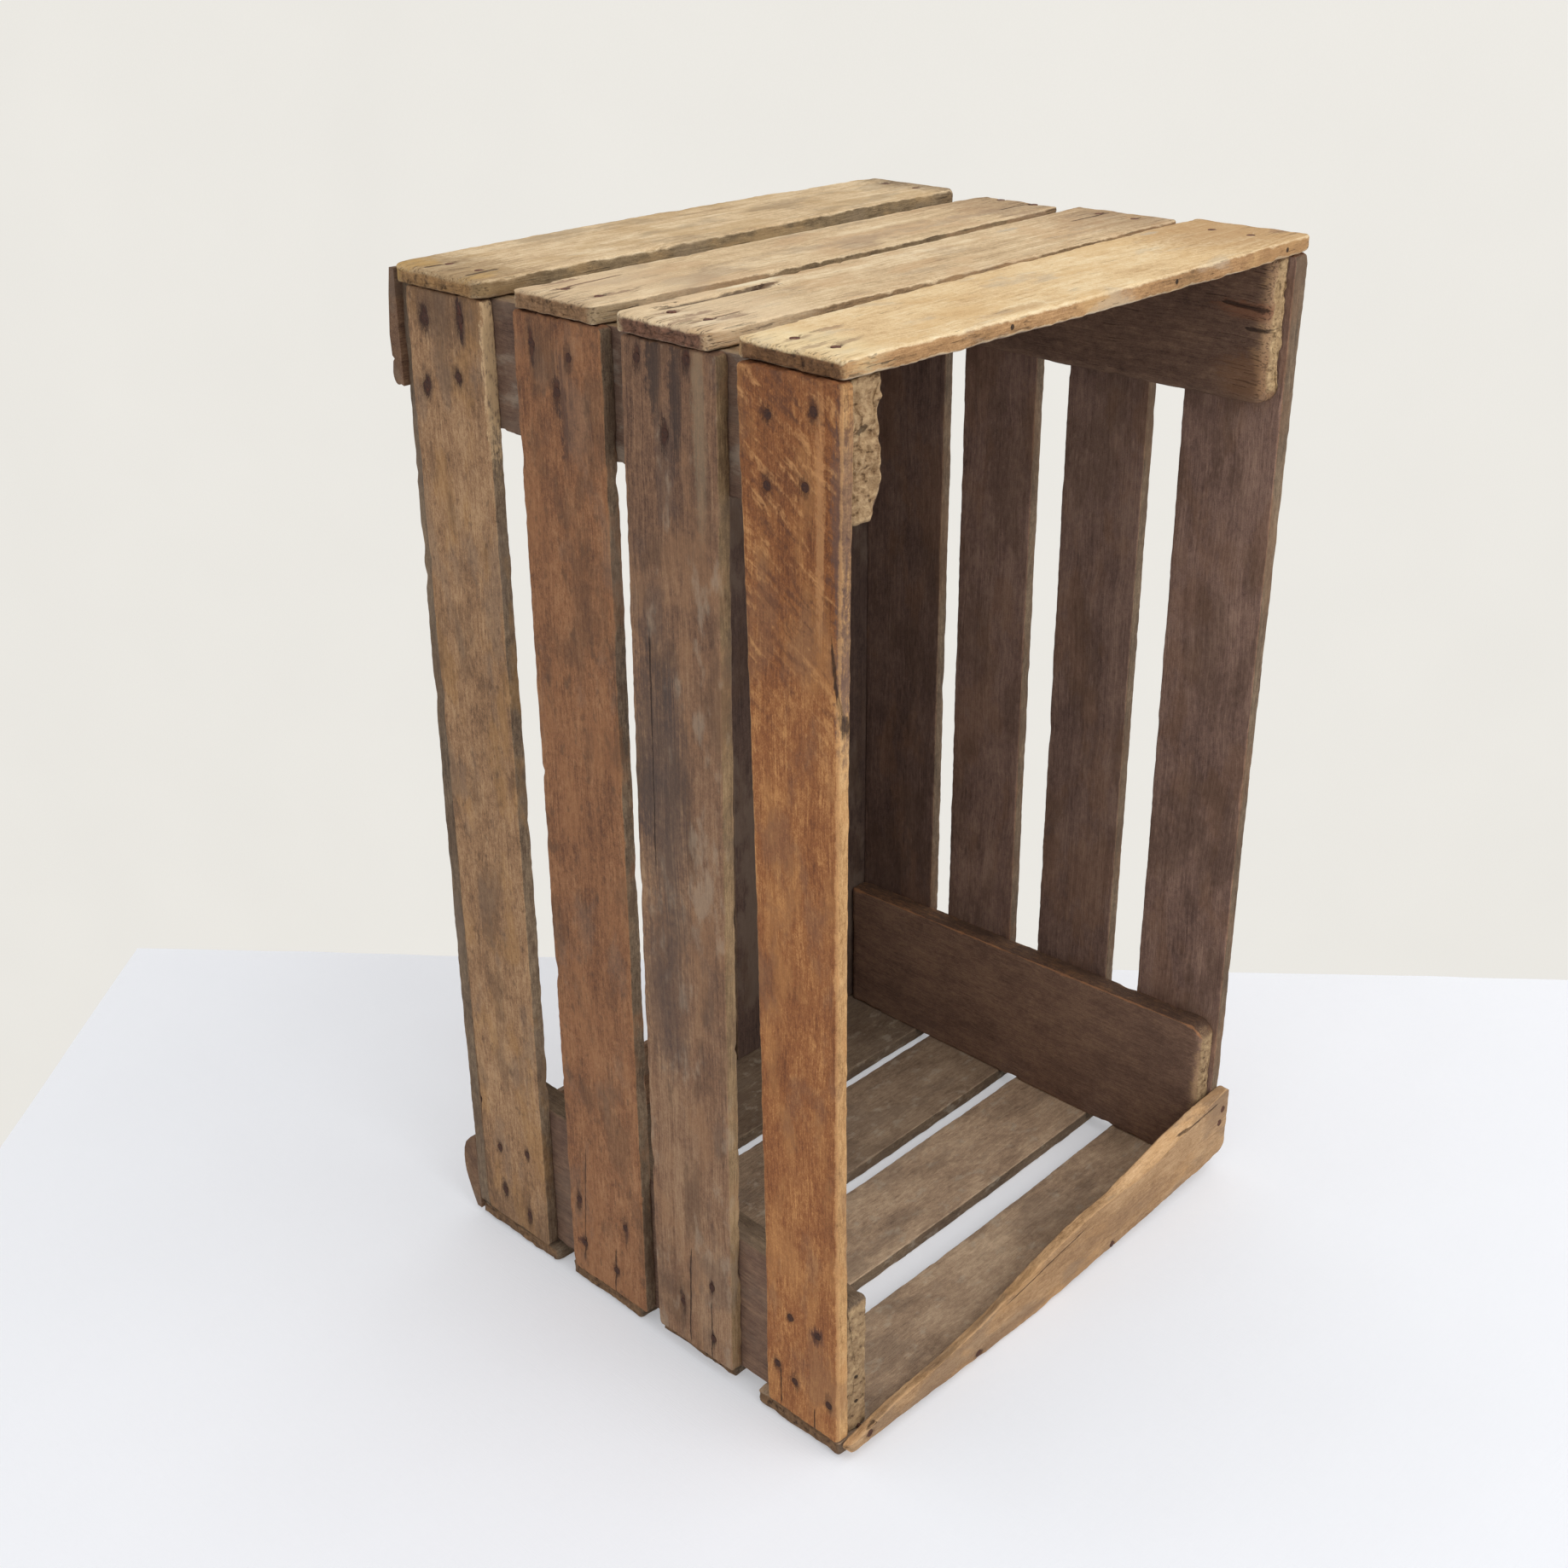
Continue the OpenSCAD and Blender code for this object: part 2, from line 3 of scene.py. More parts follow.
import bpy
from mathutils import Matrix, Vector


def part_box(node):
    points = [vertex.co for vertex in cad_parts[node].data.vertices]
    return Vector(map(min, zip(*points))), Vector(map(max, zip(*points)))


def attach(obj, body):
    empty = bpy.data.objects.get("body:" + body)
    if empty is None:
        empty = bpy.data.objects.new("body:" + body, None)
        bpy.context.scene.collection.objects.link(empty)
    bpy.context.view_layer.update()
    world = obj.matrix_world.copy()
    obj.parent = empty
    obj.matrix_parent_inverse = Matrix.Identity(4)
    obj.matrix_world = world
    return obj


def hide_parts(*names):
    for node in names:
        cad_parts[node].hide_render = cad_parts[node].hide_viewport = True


bl_info = {
    "name": "Slatted wooden crate",
    "version": (1, 0, 0),
    "blender": (4, 5, 0),
    "location": "View3D > Sidebar > Crate",
    "description": "Dresses a nailed fruit crate in worn, weathered wood",
    "category": "Object",
}

import functools
import itertools
import math
from dataclasses import dataclass, field

import bpy
import numpy as np
from bpy.props import FloatProperty, FloatVectorProperty, PointerProperty
from mathutils import Matrix, Vector

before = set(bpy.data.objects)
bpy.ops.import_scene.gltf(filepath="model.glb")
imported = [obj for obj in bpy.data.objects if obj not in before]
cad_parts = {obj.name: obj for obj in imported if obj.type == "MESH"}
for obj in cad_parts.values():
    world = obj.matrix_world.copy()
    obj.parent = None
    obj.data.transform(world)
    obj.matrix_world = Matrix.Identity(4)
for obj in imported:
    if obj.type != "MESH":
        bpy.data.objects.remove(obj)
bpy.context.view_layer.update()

MM = 0.001
X, Y, Z = 0, 1, 2


def tone(red, green, blue):
    """A colour written in screen values from 0 to 255, as the linear colour that shaders take."""
    parts = [c / 255 for c in (red, green, blue)]
    return tuple(c / 12.92 if c <= 0.04045 else ((c + 0.055) / 1.055) ** 2.4 for c in parts) + (1.0,)


# Each family of boards: the axes of its length, width and thickness, and its finish slot
FAMILIES = {
    "left_slat": (Z, Y, X, "left_wood"),
    "right_slat": (Z, Y, X, "right_wood"),
    "top_slat": (X, Y, Z, "top_wood"),
    "floor_slat": (X, Y, Z, "floor_wood"),
    "cleat": (Y, Z, X, "cleat_wood"),
    "base_board": (Z, X, Y, "base_wood"),
    "batten": (X, Z, Y, "batten_wood"),
    "lid": (X, Z, Y, "lid_wood"),
}

# Each group of nails: the axis they are driven along, the side that their heads are on, and how
# light their rust is
NAIL_GROUPS = {
    "left_nails": (X, -1, 1.0), "right_nails": (X, 1, 1.0), "top_nails": (Z, 1, 2.2),
    "floor_nails": (Z, -1, 1.0), "base_nails": (Y, 1, 1.0), "lid_nails": (Y, -1, 1.4),
}

# Corners of a section, counted round it: which side of the width and of the thickness each is on
CORNERS = ((-1, -1), (1, -1), (1, 1), (-1, 1))


class CrateWear(bpy.types.PropertyGroup):
    """How far the boards are worn."""

    arris: FloatProperty(name="Arris", description="Usual radius of a worn long edge",
                         default=1.2 * MM, min=0, unit="LENGTH")
    nick: FloatProperty(name="Nicks", description="Depth of the deepest nicks in an edge",
                        default=3 * MM, min=0, unit="LENGTH")
    wander: FloatProperty(name="Wander", description="How far a sawn edge strays from straight",
                          default=0.6 * MM, min=0, unit="LENGTH")
    end_round: FloatProperty(name="End rounding", description="Radius of the worn board ends",
                             default=1.4 * MM, min=0, unit="LENGTH")
    end_fray: FloatProperty(name="End fray", description="Depth of the torn end grain",
                            default=1.2 * MM, min=0, unit="LENGTH")
    crumble: FloatProperty(name="Crumble", description="Size of the lumps lost round a board's end",
                           default=0.9 * MM, min=0, unit="LENGTH")
    dimple: FloatProperty(name="Dimple", description="Depth of the wood's dimple past a nail's head",
                          default=0.35 * MM, min=0, unit="LENGTH")


class CrateStage(bpy.types.PropertyGroup):
    """The table, the curtain, the lamps and the camera."""

    cloth: FloatVectorProperty(name="Cloth", description="Colour of the table cloth",
                               subtype="COLOR", size=4, default=tone(249, 250, 253))
    linen: FloatVectorProperty(name="Linen", description="Colour of the curtain behind",
                               subtype="COLOR", size=4, default=tone(241, 238, 231))
    sky: FloatProperty(name="Sky", description="Strength of the even light", default=0.85, min=0)
    key: FloatProperty(name="Key lamp", description="Power of the large lamp overhead", default=26,
                       min=0, unit="POWER")
    camera_place: FloatVectorProperty(name="Camera", description="Where the camera stands",
                                      subtype="TRANSLATION", unit="LENGTH",
                                      default=(-0.77464, -0.69508, 0.79678))
    camera_turn: FloatVectorProperty(name="Camera turn", size=3, subtype="EULER",
                                     description="Azimuth, elevation and roll of the view",
                                     default=tuple(math.radians(a) for a in (-45.84, 25.99, 0.61)))
    lens: FloatProperty(name="Lens", description="Focal length on a 36 mm sensor",
                        default=45.08, min=1, unit="CAMERA")


class Value:
    """An output of a material's node; arithmetic on it adds Math nodes."""

    def __init__(self, net, socket):
        self.net, self.socket = net, socket

    def __add__(self, other):
        return self.net.math("ADD", self, other)

    def __sub__(self, other):
        return self.net.math("SUBTRACT", self, other)

    def __rsub__(self, other):
        return self.net.math("SUBTRACT", other, self)

    def __mul__(self, other):
        return self.net.math("MULTIPLY", self, other)

    def __truediv__(self, other):
        return self.net.math("DIVIDE", self, other)

    def __rtruediv__(self, other):
        return self.net.math("DIVIDE", other, self)

    def __pow__(self, other):
        return self.net.math("POWER", self, other)

    def __abs__(self):
        return self.net.math("ABSOLUTE", self)

    __radd__ = __add__
    __rmul__ = __mul__

    def most(self, other):
        return self.net.math("MAXIMUM", self, other)

    def least(self, other):
        return self.net.math("MINIMUM", self, other)


class Net:
    """The nodes of one material or of the world."""

    def __init__(self, owner):
        owner.use_nodes = True
        self.tree = owner.node_tree
        self.tree.nodes.clear()

    def node(self, kind, settings=(), inputs=(), out=0):
        """Adds a node of a kind, sets it up, feeds its inputs and gives one of its outputs."""
        made = self.tree.nodes.new(kind)
        for key, value in dict(settings).items():
            if key == "stops":
                self.set_stops(made.color_ramp, value)
            else:
                setattr(made, key, value)
        for key, value in dict(inputs).items():
            if isinstance(value, Value):
                self.tree.links.new(value.socket, made.inputs[key])
            else:
                made.inputs[key].default_value = value
        return Value(self, made.outputs[out]) if made.outputs else made

    @staticmethod
    def set_stops(ramp, stops):
        """Gives a colour ramp its stops, each a place from 0 to 1 and a colour."""
        while len(ramp.elements) < len(stops):
            ramp.elements.new(1.0)
        for element, (place, colour) in zip(ramp.elements, stops):
            element.position, element.color = place, colour

    def math(self, operation, *terms):
        return self.node("ShaderNodeMath", {"operation": operation}, dict(enumerate(terms)))

    def place(self):
        """The object's own coordinates as three values, in millimetres."""
        parts = self.tree.nodes.new("ShaderNodeSeparateXYZ")
        coords = self.node("ShaderNodeTexCoord", out="Object")
        self.tree.links.new(coords.socket, parts.inputs[0])
        return [Value(self, out) * (1 / MM) for out in parts.outputs]

    def vector(self, a, b, c):
        return self.node("ShaderNodeCombineXYZ", (), {0: a, 1: b, 2: c})

    def noise(self, vector, scale=1.0, detail=3.0, roughness=0.55, distortion=0.0):
        return self.node("ShaderNodeTexNoise", (), {
            "Vector": vector, "Scale": scale, "Detail": detail, "Roughness": roughness,
            "Distortion": distortion})

    def smooth(self, value, low, high):
        """0 below low, 1 above high and an even S between them; low may be the larger."""
        if low > high:
            return 1 - self.smooth(value, high, low)
        return self.node("ShaderNodeMapRange", {"interpolation_type": "SMOOTHSTEP"}, {
            "Value": value, "From Min": low, "From Max": high})

    def mix(self, factor, a, b, blend="MIX"):
        """Two colours mixed by a factor."""
        return self.node("ShaderNodeMix", {"data_type": "RGBA", "blend_type": blend},
                         {0: factor, 6: a, 7: b}, out=2)

    def attribute(self, name):
        return self.node("ShaderNodeAttribute", {"attribute_name": name}, out="Fac")

    def seen(self):
        """1 for a ray from the camera, or one that shows in gloss or through glass."""
        path = self.tree.nodes.new("ShaderNodeLightPath")
        camera, gloss, glass = (Value(self, path.outputs[f"Is {kind} Ray"])
                                for kind in ("Camera", "Glossy", "Transmission"))
        return camera.most(gloss).most(glass)

    def bump(self, height, strength=1.0):
        """Shading relief from a height in millimetres."""
        return self.node("ShaderNodeBump", (), {
            "Strength": strength, "Distance": MM, "Height": height}, out="Normal")

    def finish(self, colour, roughness, normal, metallic=0.0, specular=0.5):
        shader = self.node("ShaderNodeBsdfPrincipled", (), {
            "Base Color": colour, "Roughness": roughness, "Normal": normal,
            "Metallic": metallic, "Specular IOR Level": specular})
        self.node("ShaderNodeOutputMaterial", (), {"Surface": shader})


def wander(places, step, seed):
    """A smooth random line from -1 to 1: seeded heights a step apart, joined by 3t^2 - 2t^3."""
    t = (places - places.min()) / step
    cell = np.floor(t).astype(int)
    heights = np.random.default_rng(seed).uniform(-1, 1, cell.max() + 2)
    t = t - cell
    blend = t * t * (3 - 2 * t)
    return heights[cell] * (1 - blend) + heights[cell + 1] * blend


def nicks(places, count, depth, seed):
    """Dents along a line: a sum of count bells, exp(-((s - centre) / width)^2), of random depth."""
    rng = np.random.default_rng(seed)
    centre = rng.uniform(places.min(), places.max(), count)
    width = rng.uniform(1.5, 7.0, count) * MM
    deep = depth * rng.uniform(0.2, 1.0, count) ** 2
    return (deep * np.exp(-((places[:, None] - centre) / width) ** 2)).sum(axis=1)


def lumps(points, cell, seed):
    """Smooth random values from 0 to 1 through space: seeded heights on a lattice of cells,
    joined along its three axes by 3t^2 - 2t^3."""
    t = points / cell
    t = t - np.floor(t.reshape(-1, 3).min(axis=0))
    whole = np.floor(t).astype(int)
    share = t - whole
    share = share * share * (3 - 2 * share)
    heights = np.random.default_rng(seed).uniform(0, 1, whole.reshape(-1, 3).max(axis=0) + 2)
    total = 0
    for corner in itertools.product((0, 1), repeat=3):
        weight = np.where(corner, share, 1 - share).prod(axis=-1)
        total = total + weight * heights[tuple(np.moveaxis(whole + corner, -1, 0))]
    return total


def broken(points, cell, seed, steep=1.0):
    """The random relief of torn wood, from 0 to 1: lumps of one cell and finer ones on them. A
    steep relief is spread about its middle and cut off at 0 and 1, so it has pits and flats."""
    cell = np.array(cell) * MM
    relief = 0.65 * lumps(points, cell, seed) + 0.35 * lumps(points, 0.36 * cell, seed + 1)
    return np.clip(0.5 + steep * (relief - 0.5), 0, 1)


def rounding(distance, radius):
    """How far a quarter circle draws an outline in at a distance from its end:
    r - sqrt(r^2 - (r - d)^2)."""
    into = np.clip(radius - distance, 0, radius)
    return radius - np.sqrt(radius ** 2 - into ** 2)


def stations(low, high, step, heads):
    """Places along a board: even steps, and closer ones at its two ends and round nail heads."""
    near = np.array([0.05, 0.25, 0.6, 1.1, 1.8, 2.8, 4.2, 6.0]) * MM
    around = heads[:, None] + np.array([-9, -6, -4, -2.5, -1, 1, 2.5, 4, 6, 9]) * MM
    grid = 0.5 * MM
    inside = np.concatenate([np.arange(low, high, step), around.ravel()])
    inside = np.unique(np.round((inside - low) / grid)) * grid + low
    inside = inside[(inside > low + 7 * MM) & (inside < high - 7 * MM)]
    return np.concatenate([low + near, inside, (high - near)[::-1]])


def section_corners(node, axes, places, by_face):
    """Corners of a CAD node's section where planes square to its length cut it, counted round:
    widths, then thicknesses. Every mesh edge that crosses a plane gives one point, by its share
    of the way along. The corners span the whole section, or by_face the points of each broad
    face alone."""
    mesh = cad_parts[node].data
    points = np.empty(3 * len(mesh.vertices))
    edges = np.empty(2 * len(mesh.edges), dtype=np.int32)
    mesh.vertices.foreach_get("co", points)
    mesh.edges.foreach_get("vertices", edges)
    along, across, thick = points.reshape(-1, 3)[:, axes].T
    a, b = edges.reshape(-1, 2).T
    crossing = (along[a] < places[:, None]) != (along[b] < places[:, None])
    run = np.where(along[b] == along[a], 1, along[b] - along[a])
    share = (places[:, None] - along[a]) / run
    u, v = (values[a] + (values[b] - values[a]) * share for values in (across, thick))
    widths, depths = [], []
    for side_u, side_v in CORNERS:
        depth = side_v * np.where(crossing, v * side_v, -np.inf).max(axis=1)
        near = crossing & (np.abs(v - depth[:, None]) < 0.3 * MM) if by_face else crossing
        widths.append(side_u * np.where(near, u * side_u, -np.inf).max(axis=1))
        depths.append(depth)
    return np.stack(widths, axis=1), np.stack(depths, axis=1)


def rounded_ring(width, depth, radius, arc_steps, face_steps):
    """Rings of points round sections: each corner is a quarter circle of its own radius, centred
    one radius in from both sides, and points spaced evenly join it to the next corner. Also
    gives each point's direction out of the section, as its width and thickness parts."""
    ring, out = [], []
    quarter = np.linspace(0, math.pi / 2, arc_steps + 1)
    arcs = []
    for index, (side_u, side_v) in enumerate(CORNERS):
        r = radius[:, index:index + 1]
        u = width[:, index:index + 1] - side_u * r
        v = depth[:, index:index + 1] - side_v * r
        angle = math.pi + index * math.pi / 2 + quarter
        arcs.append(np.stack([u + r * np.cos(angle), v + r * np.sin(angle)], axis=-1))
    for index, steps in enumerate(face_steps):
        arc, following = arcs[index], arcs[(index + 1) % 4]
        angle = math.pi + index * math.pi / 2 + quarter
        ring.append(arc)
        out.append(np.stack([np.cos(angle), np.sin(angle)], axis=1))
        share = np.arange(1, steps)[:, None] / steps
        ring.append(arc[:, -1:] * (1 - share) + following[:, :1] * share)
        out.append(np.tile(out[-1][-1], (steps - 1, 1)))
    return np.concatenate(ring, axis=1), np.concatenate(out)


def grid_faces(rows, columns):
    """Quads between the rows of a grid whose columns run round and meet."""
    start = np.arange(rows - 1)[:, None] * columns
    here, following = np.arange(columns), (np.arange(columns) + 1) % columns
    return np.stack([start + here, start + following,
                     start + columns + following, start + columns + here], axis=-1).reshape(-1, 4)


def fill_mesh(name, points, quads, fans, values):
    """A closed mesh from quads and fans of triangles, with its faces turned outwards: where the
    sum of the triangles' signed volumes is negative, every face is turned round."""
    triangles = np.concatenate([quads[:, [0, 1, 2]], quads[:, [0, 2, 3]], fans])
    a, b, c = (points[triangles[:, k]] for k in range(3))
    if np.einsum("ij,ij->i", a, np.cross(b, c)).sum() < 0:
        quads, fans = quads[:, ::-1], fans[:, ::-1]
    loops = np.concatenate([quads.ravel(), fans.ravel()])
    starts = np.concatenate([4 * np.arange(len(quads)), 4 * len(quads) + 3 * np.arange(len(fans))])
    mesh = bpy.data.meshes.new(name)
    mesh.vertices.add(len(points))
    mesh.vertices.foreach_set("co", points.astype(np.float32).ravel())
    mesh.loops.add(len(loops))
    mesh.loops.foreach_set("vertex_index", loops.astype(np.int32))
    mesh.polygons.add(len(starts))
    mesh.polygons.foreach_set("loop_start", starts.astype(np.int32))
    mesh.polygons.foreach_set("use_smooth", np.ones(len(starts), dtype=bool))
    mesh.update(calc_edges=True)
    for key, data in values.items():
        mesh.attributes.new(key, "FLOAT", "POINT").data.foreach_set("value", data.astype(np.float32))
    made = bpy.data.objects.new(name, mesh)
    bpy.context.collection.objects.link(made)
    return made


def family_of(node):
    """The axes and the finish slot of a board's family."""
    for family, facts in FAMILIES.items():
        if family in node:
            return facts
    raise RuntimeError(f"{node} belongs to no family of boards")


@dataclass
class Shape:
    """How one board departs from fresh sawn wood. Wander, arris, nick, ends, fray and crumble are
    shares of the crate's usual wear, and the rest are millimetres."""

    wander: float = 1.0  # how far the sawn edges stray
    arris: float = 1.0  # radius of the long edges
    nick: float = 1.0  # depth of the nicks in them
    ends: tuple = (1.0, 1.0)  # radius of the end edges, on the low and on the high broad face
    fray: float = 1.0  # depth of the torn end grain
    crumble: float = 1.0  # size of the lumps lost round the ends
    rounds: dict = field(default_factory=dict)  # more radius for a long edge, by corner of the section
    corners: dict = field(default_factory=dict)  # radius of a broad face's corner, by (end, side)
    chewed: tuple = (0.0, 0.0)  # depth of the dents in the low and in the high narrow face
    lump: float = 2.6  # width of the lumps of torn end grain
    steep: float = 1.5  # how far those lumps are pits and flats, as a factor
    dimple: tuple = (3.4, 5.0)  # half the width and half the length of the dimple round a nail
    torn: tuple = ()  # a strip torn off before a line: the face's side, where the strip starts and
    # stops, the line at its start, middle and stop, the strip's depth, and how far across it fades
    by_face: bool = False  # whether each broad face has an outline of its own
    step: float = 2.5  # distance between sections
    fine: float = 4.0  # distance between points across a face
    rings: int = 8  # rings of points on an end


def parabola(t, first, middle, last):
    """The parabola through three values at t = -1, 0 and 1."""
    return middle + t * (last - first) / 2 + t * t * ((last + first) / 2 - middle)


def board(node, seed, shape):
    """A worn board in the place of a CAD node. Its section, a quadrilateral with rounded corners,
    is carried along its length; the quadrilateral is the node's own at each place, drawn in by a
    random line at each edge, and the corners' radii vary with nicks. Rings that shrink to a point
    close both ends. Then random relief tears the ends and dents the narrow faces. A torn strip
    sinks its face by depth * (1 - t^4), with t from -1 to 1 along it, before a line that is the
    parabola through its three places, and the sinking fades across as exp(-distance / fade).
    Last, the wood sinks round each nail's head."""
    wear = bpy.context.scene.crate_wear
    along, across, thick, slot = family_of(node)
    low, high = (np.array(corner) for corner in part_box(node))
    heads = heads_on(node)
    places = stations(low[along], high[along], shape.step * MM, heads[:, 0])
    width, depth = section_corners(node, [along, across, thick], places, shape.by_face)
    from_end = {-1: places - low[along], 1: high[along] - places}
    nearest = np.minimum(from_end[-1], from_end[1])
    for corner, (side_u, side_v) in enumerate(CORNERS):
        stray = (0.45 * wander(places, 26 * MM, seed + 1 + side_u)
                 + 0.3 * wander(places, 7 * MM, seed + 11 + side_u)
                 + 0.25 * wander(places, 2.6 * MM, seed + 71 + side_u))
        line = shape.wander * wear.wander * (0.5 + 0.5 * stray) + rounding(nearest, wear.end_round)
        for end in (-1, 1):
            line = line + rounding(from_end[end], shape.corners.get((end, side_u), 0) * MM)
        width[:, corner] -= side_u * line
        depth[:, corner] -= side_v * rounding(nearest, shape.ends[side_v > 0] * wear.end_round)
    room = np.minimum(np.ptp(depth, axis=1), np.ptp(width, axis=1))
    radius = []
    for k, corner in enumerate(CORNERS):
        wide = 0.8 if corner in shape.rounds else 0.18 if shape.rounds else 0.46
        usual = shape.arris * wear.arris * (0.8 + 0.4 * wander(places, 12 * MM, seed + 20 + k)
                                            + 0.3 * wander(places, 3 * MM, seed + 80 + k))
        nicked = nicks(places, 9, shape.nick * wear.nick, seed + 30 + k)
        radius.append(np.minimum(usual + nicked + shape.rounds.get(corner, 0) * MM, wide * room))
    long_steps = max(6, round((high - low)[across] / (shape.fine * MM)))
    short_steps = max(3, round((high - low)[thick] / (min(shape.fine, 3) * MM)))
    ring, out = rounded_ring(width, depth, np.stack(radius, axis=1), 5, [long_steps, short_steps] * 2)
    shares = (np.arange(1, shape.rings) / shape.rings) ** 0.8
    reach = np.concatenate([shares, np.ones(len(places)), shares[::-1]])[:, None]
    row = np.concatenate([np.zeros(len(shares), dtype=int), np.arange(len(places)),
                          np.full(len(shares), len(places) - 1)])
    middle = ring.mean(axis=1, keepdims=True)[row]
    body = np.empty((len(row), ring.shape[1], 3))
    body[..., 0] = places[row][:, None]
    body[..., 1:] = middle + (ring[row] - middle) * reach[..., None]
    fade = 4 * MM
    push = (np.exp(-from_end[-1] / fade) - np.exp(-from_end[1] / fade))[row][:, None]
    frayed = broken(body, [2 * shape.lump, 1.6 * shape.lump, 0.7 * shape.lump], seed + 40, shape.steep)
    lost = broken(body, [14, 9, 4], seed + 50, 1.6) * np.exp(-nearest / fade)[row][:, None] * reach
    dent = broken(body, [6, 3, 3], seed + 60) * reach
    body[..., 0] += shape.fray * wear.end_fray * frayed * push
    body[..., 1:] -= shape.crumble * wear.crumble * lost[..., None] * out
    for side, amount in zip((-1, 1), shape.chewed):
        body[..., 1] -= side * amount * MM * dent * np.clip(side * out[:, 0], 0, 1)
    if shape.torn:
        side, *lengths = shape.torn
        start, stop, *line, sink, across_fade = (value * MM for value in lengths)
        t = np.clip((2 * body[..., 0] - start - stop) / (stop - start), -1, 1)
        before = parabola(t, *line) - body[..., 1]
        amount = np.clip(before / (0.8 * MM) + 0.5, 0, 1) * np.exp(-before.clip(0) / across_fade)
        body[..., 2] -= side * sink * (1 - t ** 4) * amount * np.clip(side * out[:, 1], 0, 1)
    for head in heads:
        sides = {side: np.interp(head[0], places, depth[:, CORNERS.index((1, side))]) for side in (-1, 1)}
        side = min(sides, key=lambda each: abs(sides[each] - head[2]))
        sunk = abs(sides[side] - head[2]) + wear.dimple
        half_u, half_s = (half * MM for half in shape.dimple)
        far = ((body[..., 0] - head[0]) / half_s) ** 2 + ((body[..., 1] - head[1]) / half_u) ** 2
        dish = np.clip(1.5 * (1 - far), 0, 1)
        body[..., 2] -= side * sunk * dish * dish * (3 - 2 * dish) * (side * out[:, 1] > 0.7)
    rows, columns = body.shape[:2]
    points = np.empty((rows * columns + 2, 3))
    points[:-2, [along, across, thick]] = body.reshape(-1, 3)
    points[-2:, [along, across, thick]] = body[[0, -1]].mean(axis=1)
    turn = np.arange(columns)
    following = (turn + 1) % columns
    fans = np.concatenate([
        np.stack([np.full(columns, rows * columns), following, turn], axis=1),
        np.stack([np.full(columns, rows * columns + 1), (rows - 1) * columns + turn,
                  (rows - 1) * columns + following], axis=1)])
    end = np.exp(-(nearest - nearest[0])[row] / (0.9 * MM))
    made = fill_mesh(f"worn_{node}", points, grid_faces(rows, columns), fans, {
        "worn": np.append(np.tile(2 * np.abs(out[:, 0] * out[:, 1]), rows), [0, 0]),
        "facing": np.append(np.tile(out[:, 1], rows), [0, 0]),
        "end": np.append(np.repeat(end, columns), [1, 1])})
    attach(made, "root")
    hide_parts(node)
    return made


@functools.cache
def nail_places(group):
    """Where the nails of a group come through the wood: the middle of each nail seen along its
    axis, and its head's height. Points closer than a head's width belong to one nail."""
    axis, side, _ = NAIL_GROUPS[group]
    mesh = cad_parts[group].data
    points = np.empty(3 * len(mesh.vertices))
    mesh.vertices.foreach_get("co", points)
    points = points.reshape(-1, 3)
    flat = [a for a in (X, Y, Z) if a != axis]
    found = []
    while len(points):
        near = np.linalg.norm(points[:, flat] - points[0, flat], axis=1) < 5 * MM
        one = points[near]
        middle = (one.min(axis=0) + one.max(axis=0)) / 2
        middle[axis] = (one[:, axis] * side).max() * side
        found.append(middle)
        points = points[~near]
    return found


def heads_on(node):
    """The nail heads that show on a board, as rows of places along, across and through it."""
    along, across, thick, _ = family_of(node)
    low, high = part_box(node)
    found = []
    for group, (axis, *_) in NAIL_GROUPS.items():
        if axis != thick:
            continue
        for point in nail_places(group):
            close = min(abs(point[thick] - low[thick]), abs(point[thick] - high[thick])) < 1.6 * MM
            if close and all(low[a] < point[a] < high[a] for a in (along, across)):
                found.append(point[[along, across, thick]])
    return np.array(found).reshape(-1, 3)


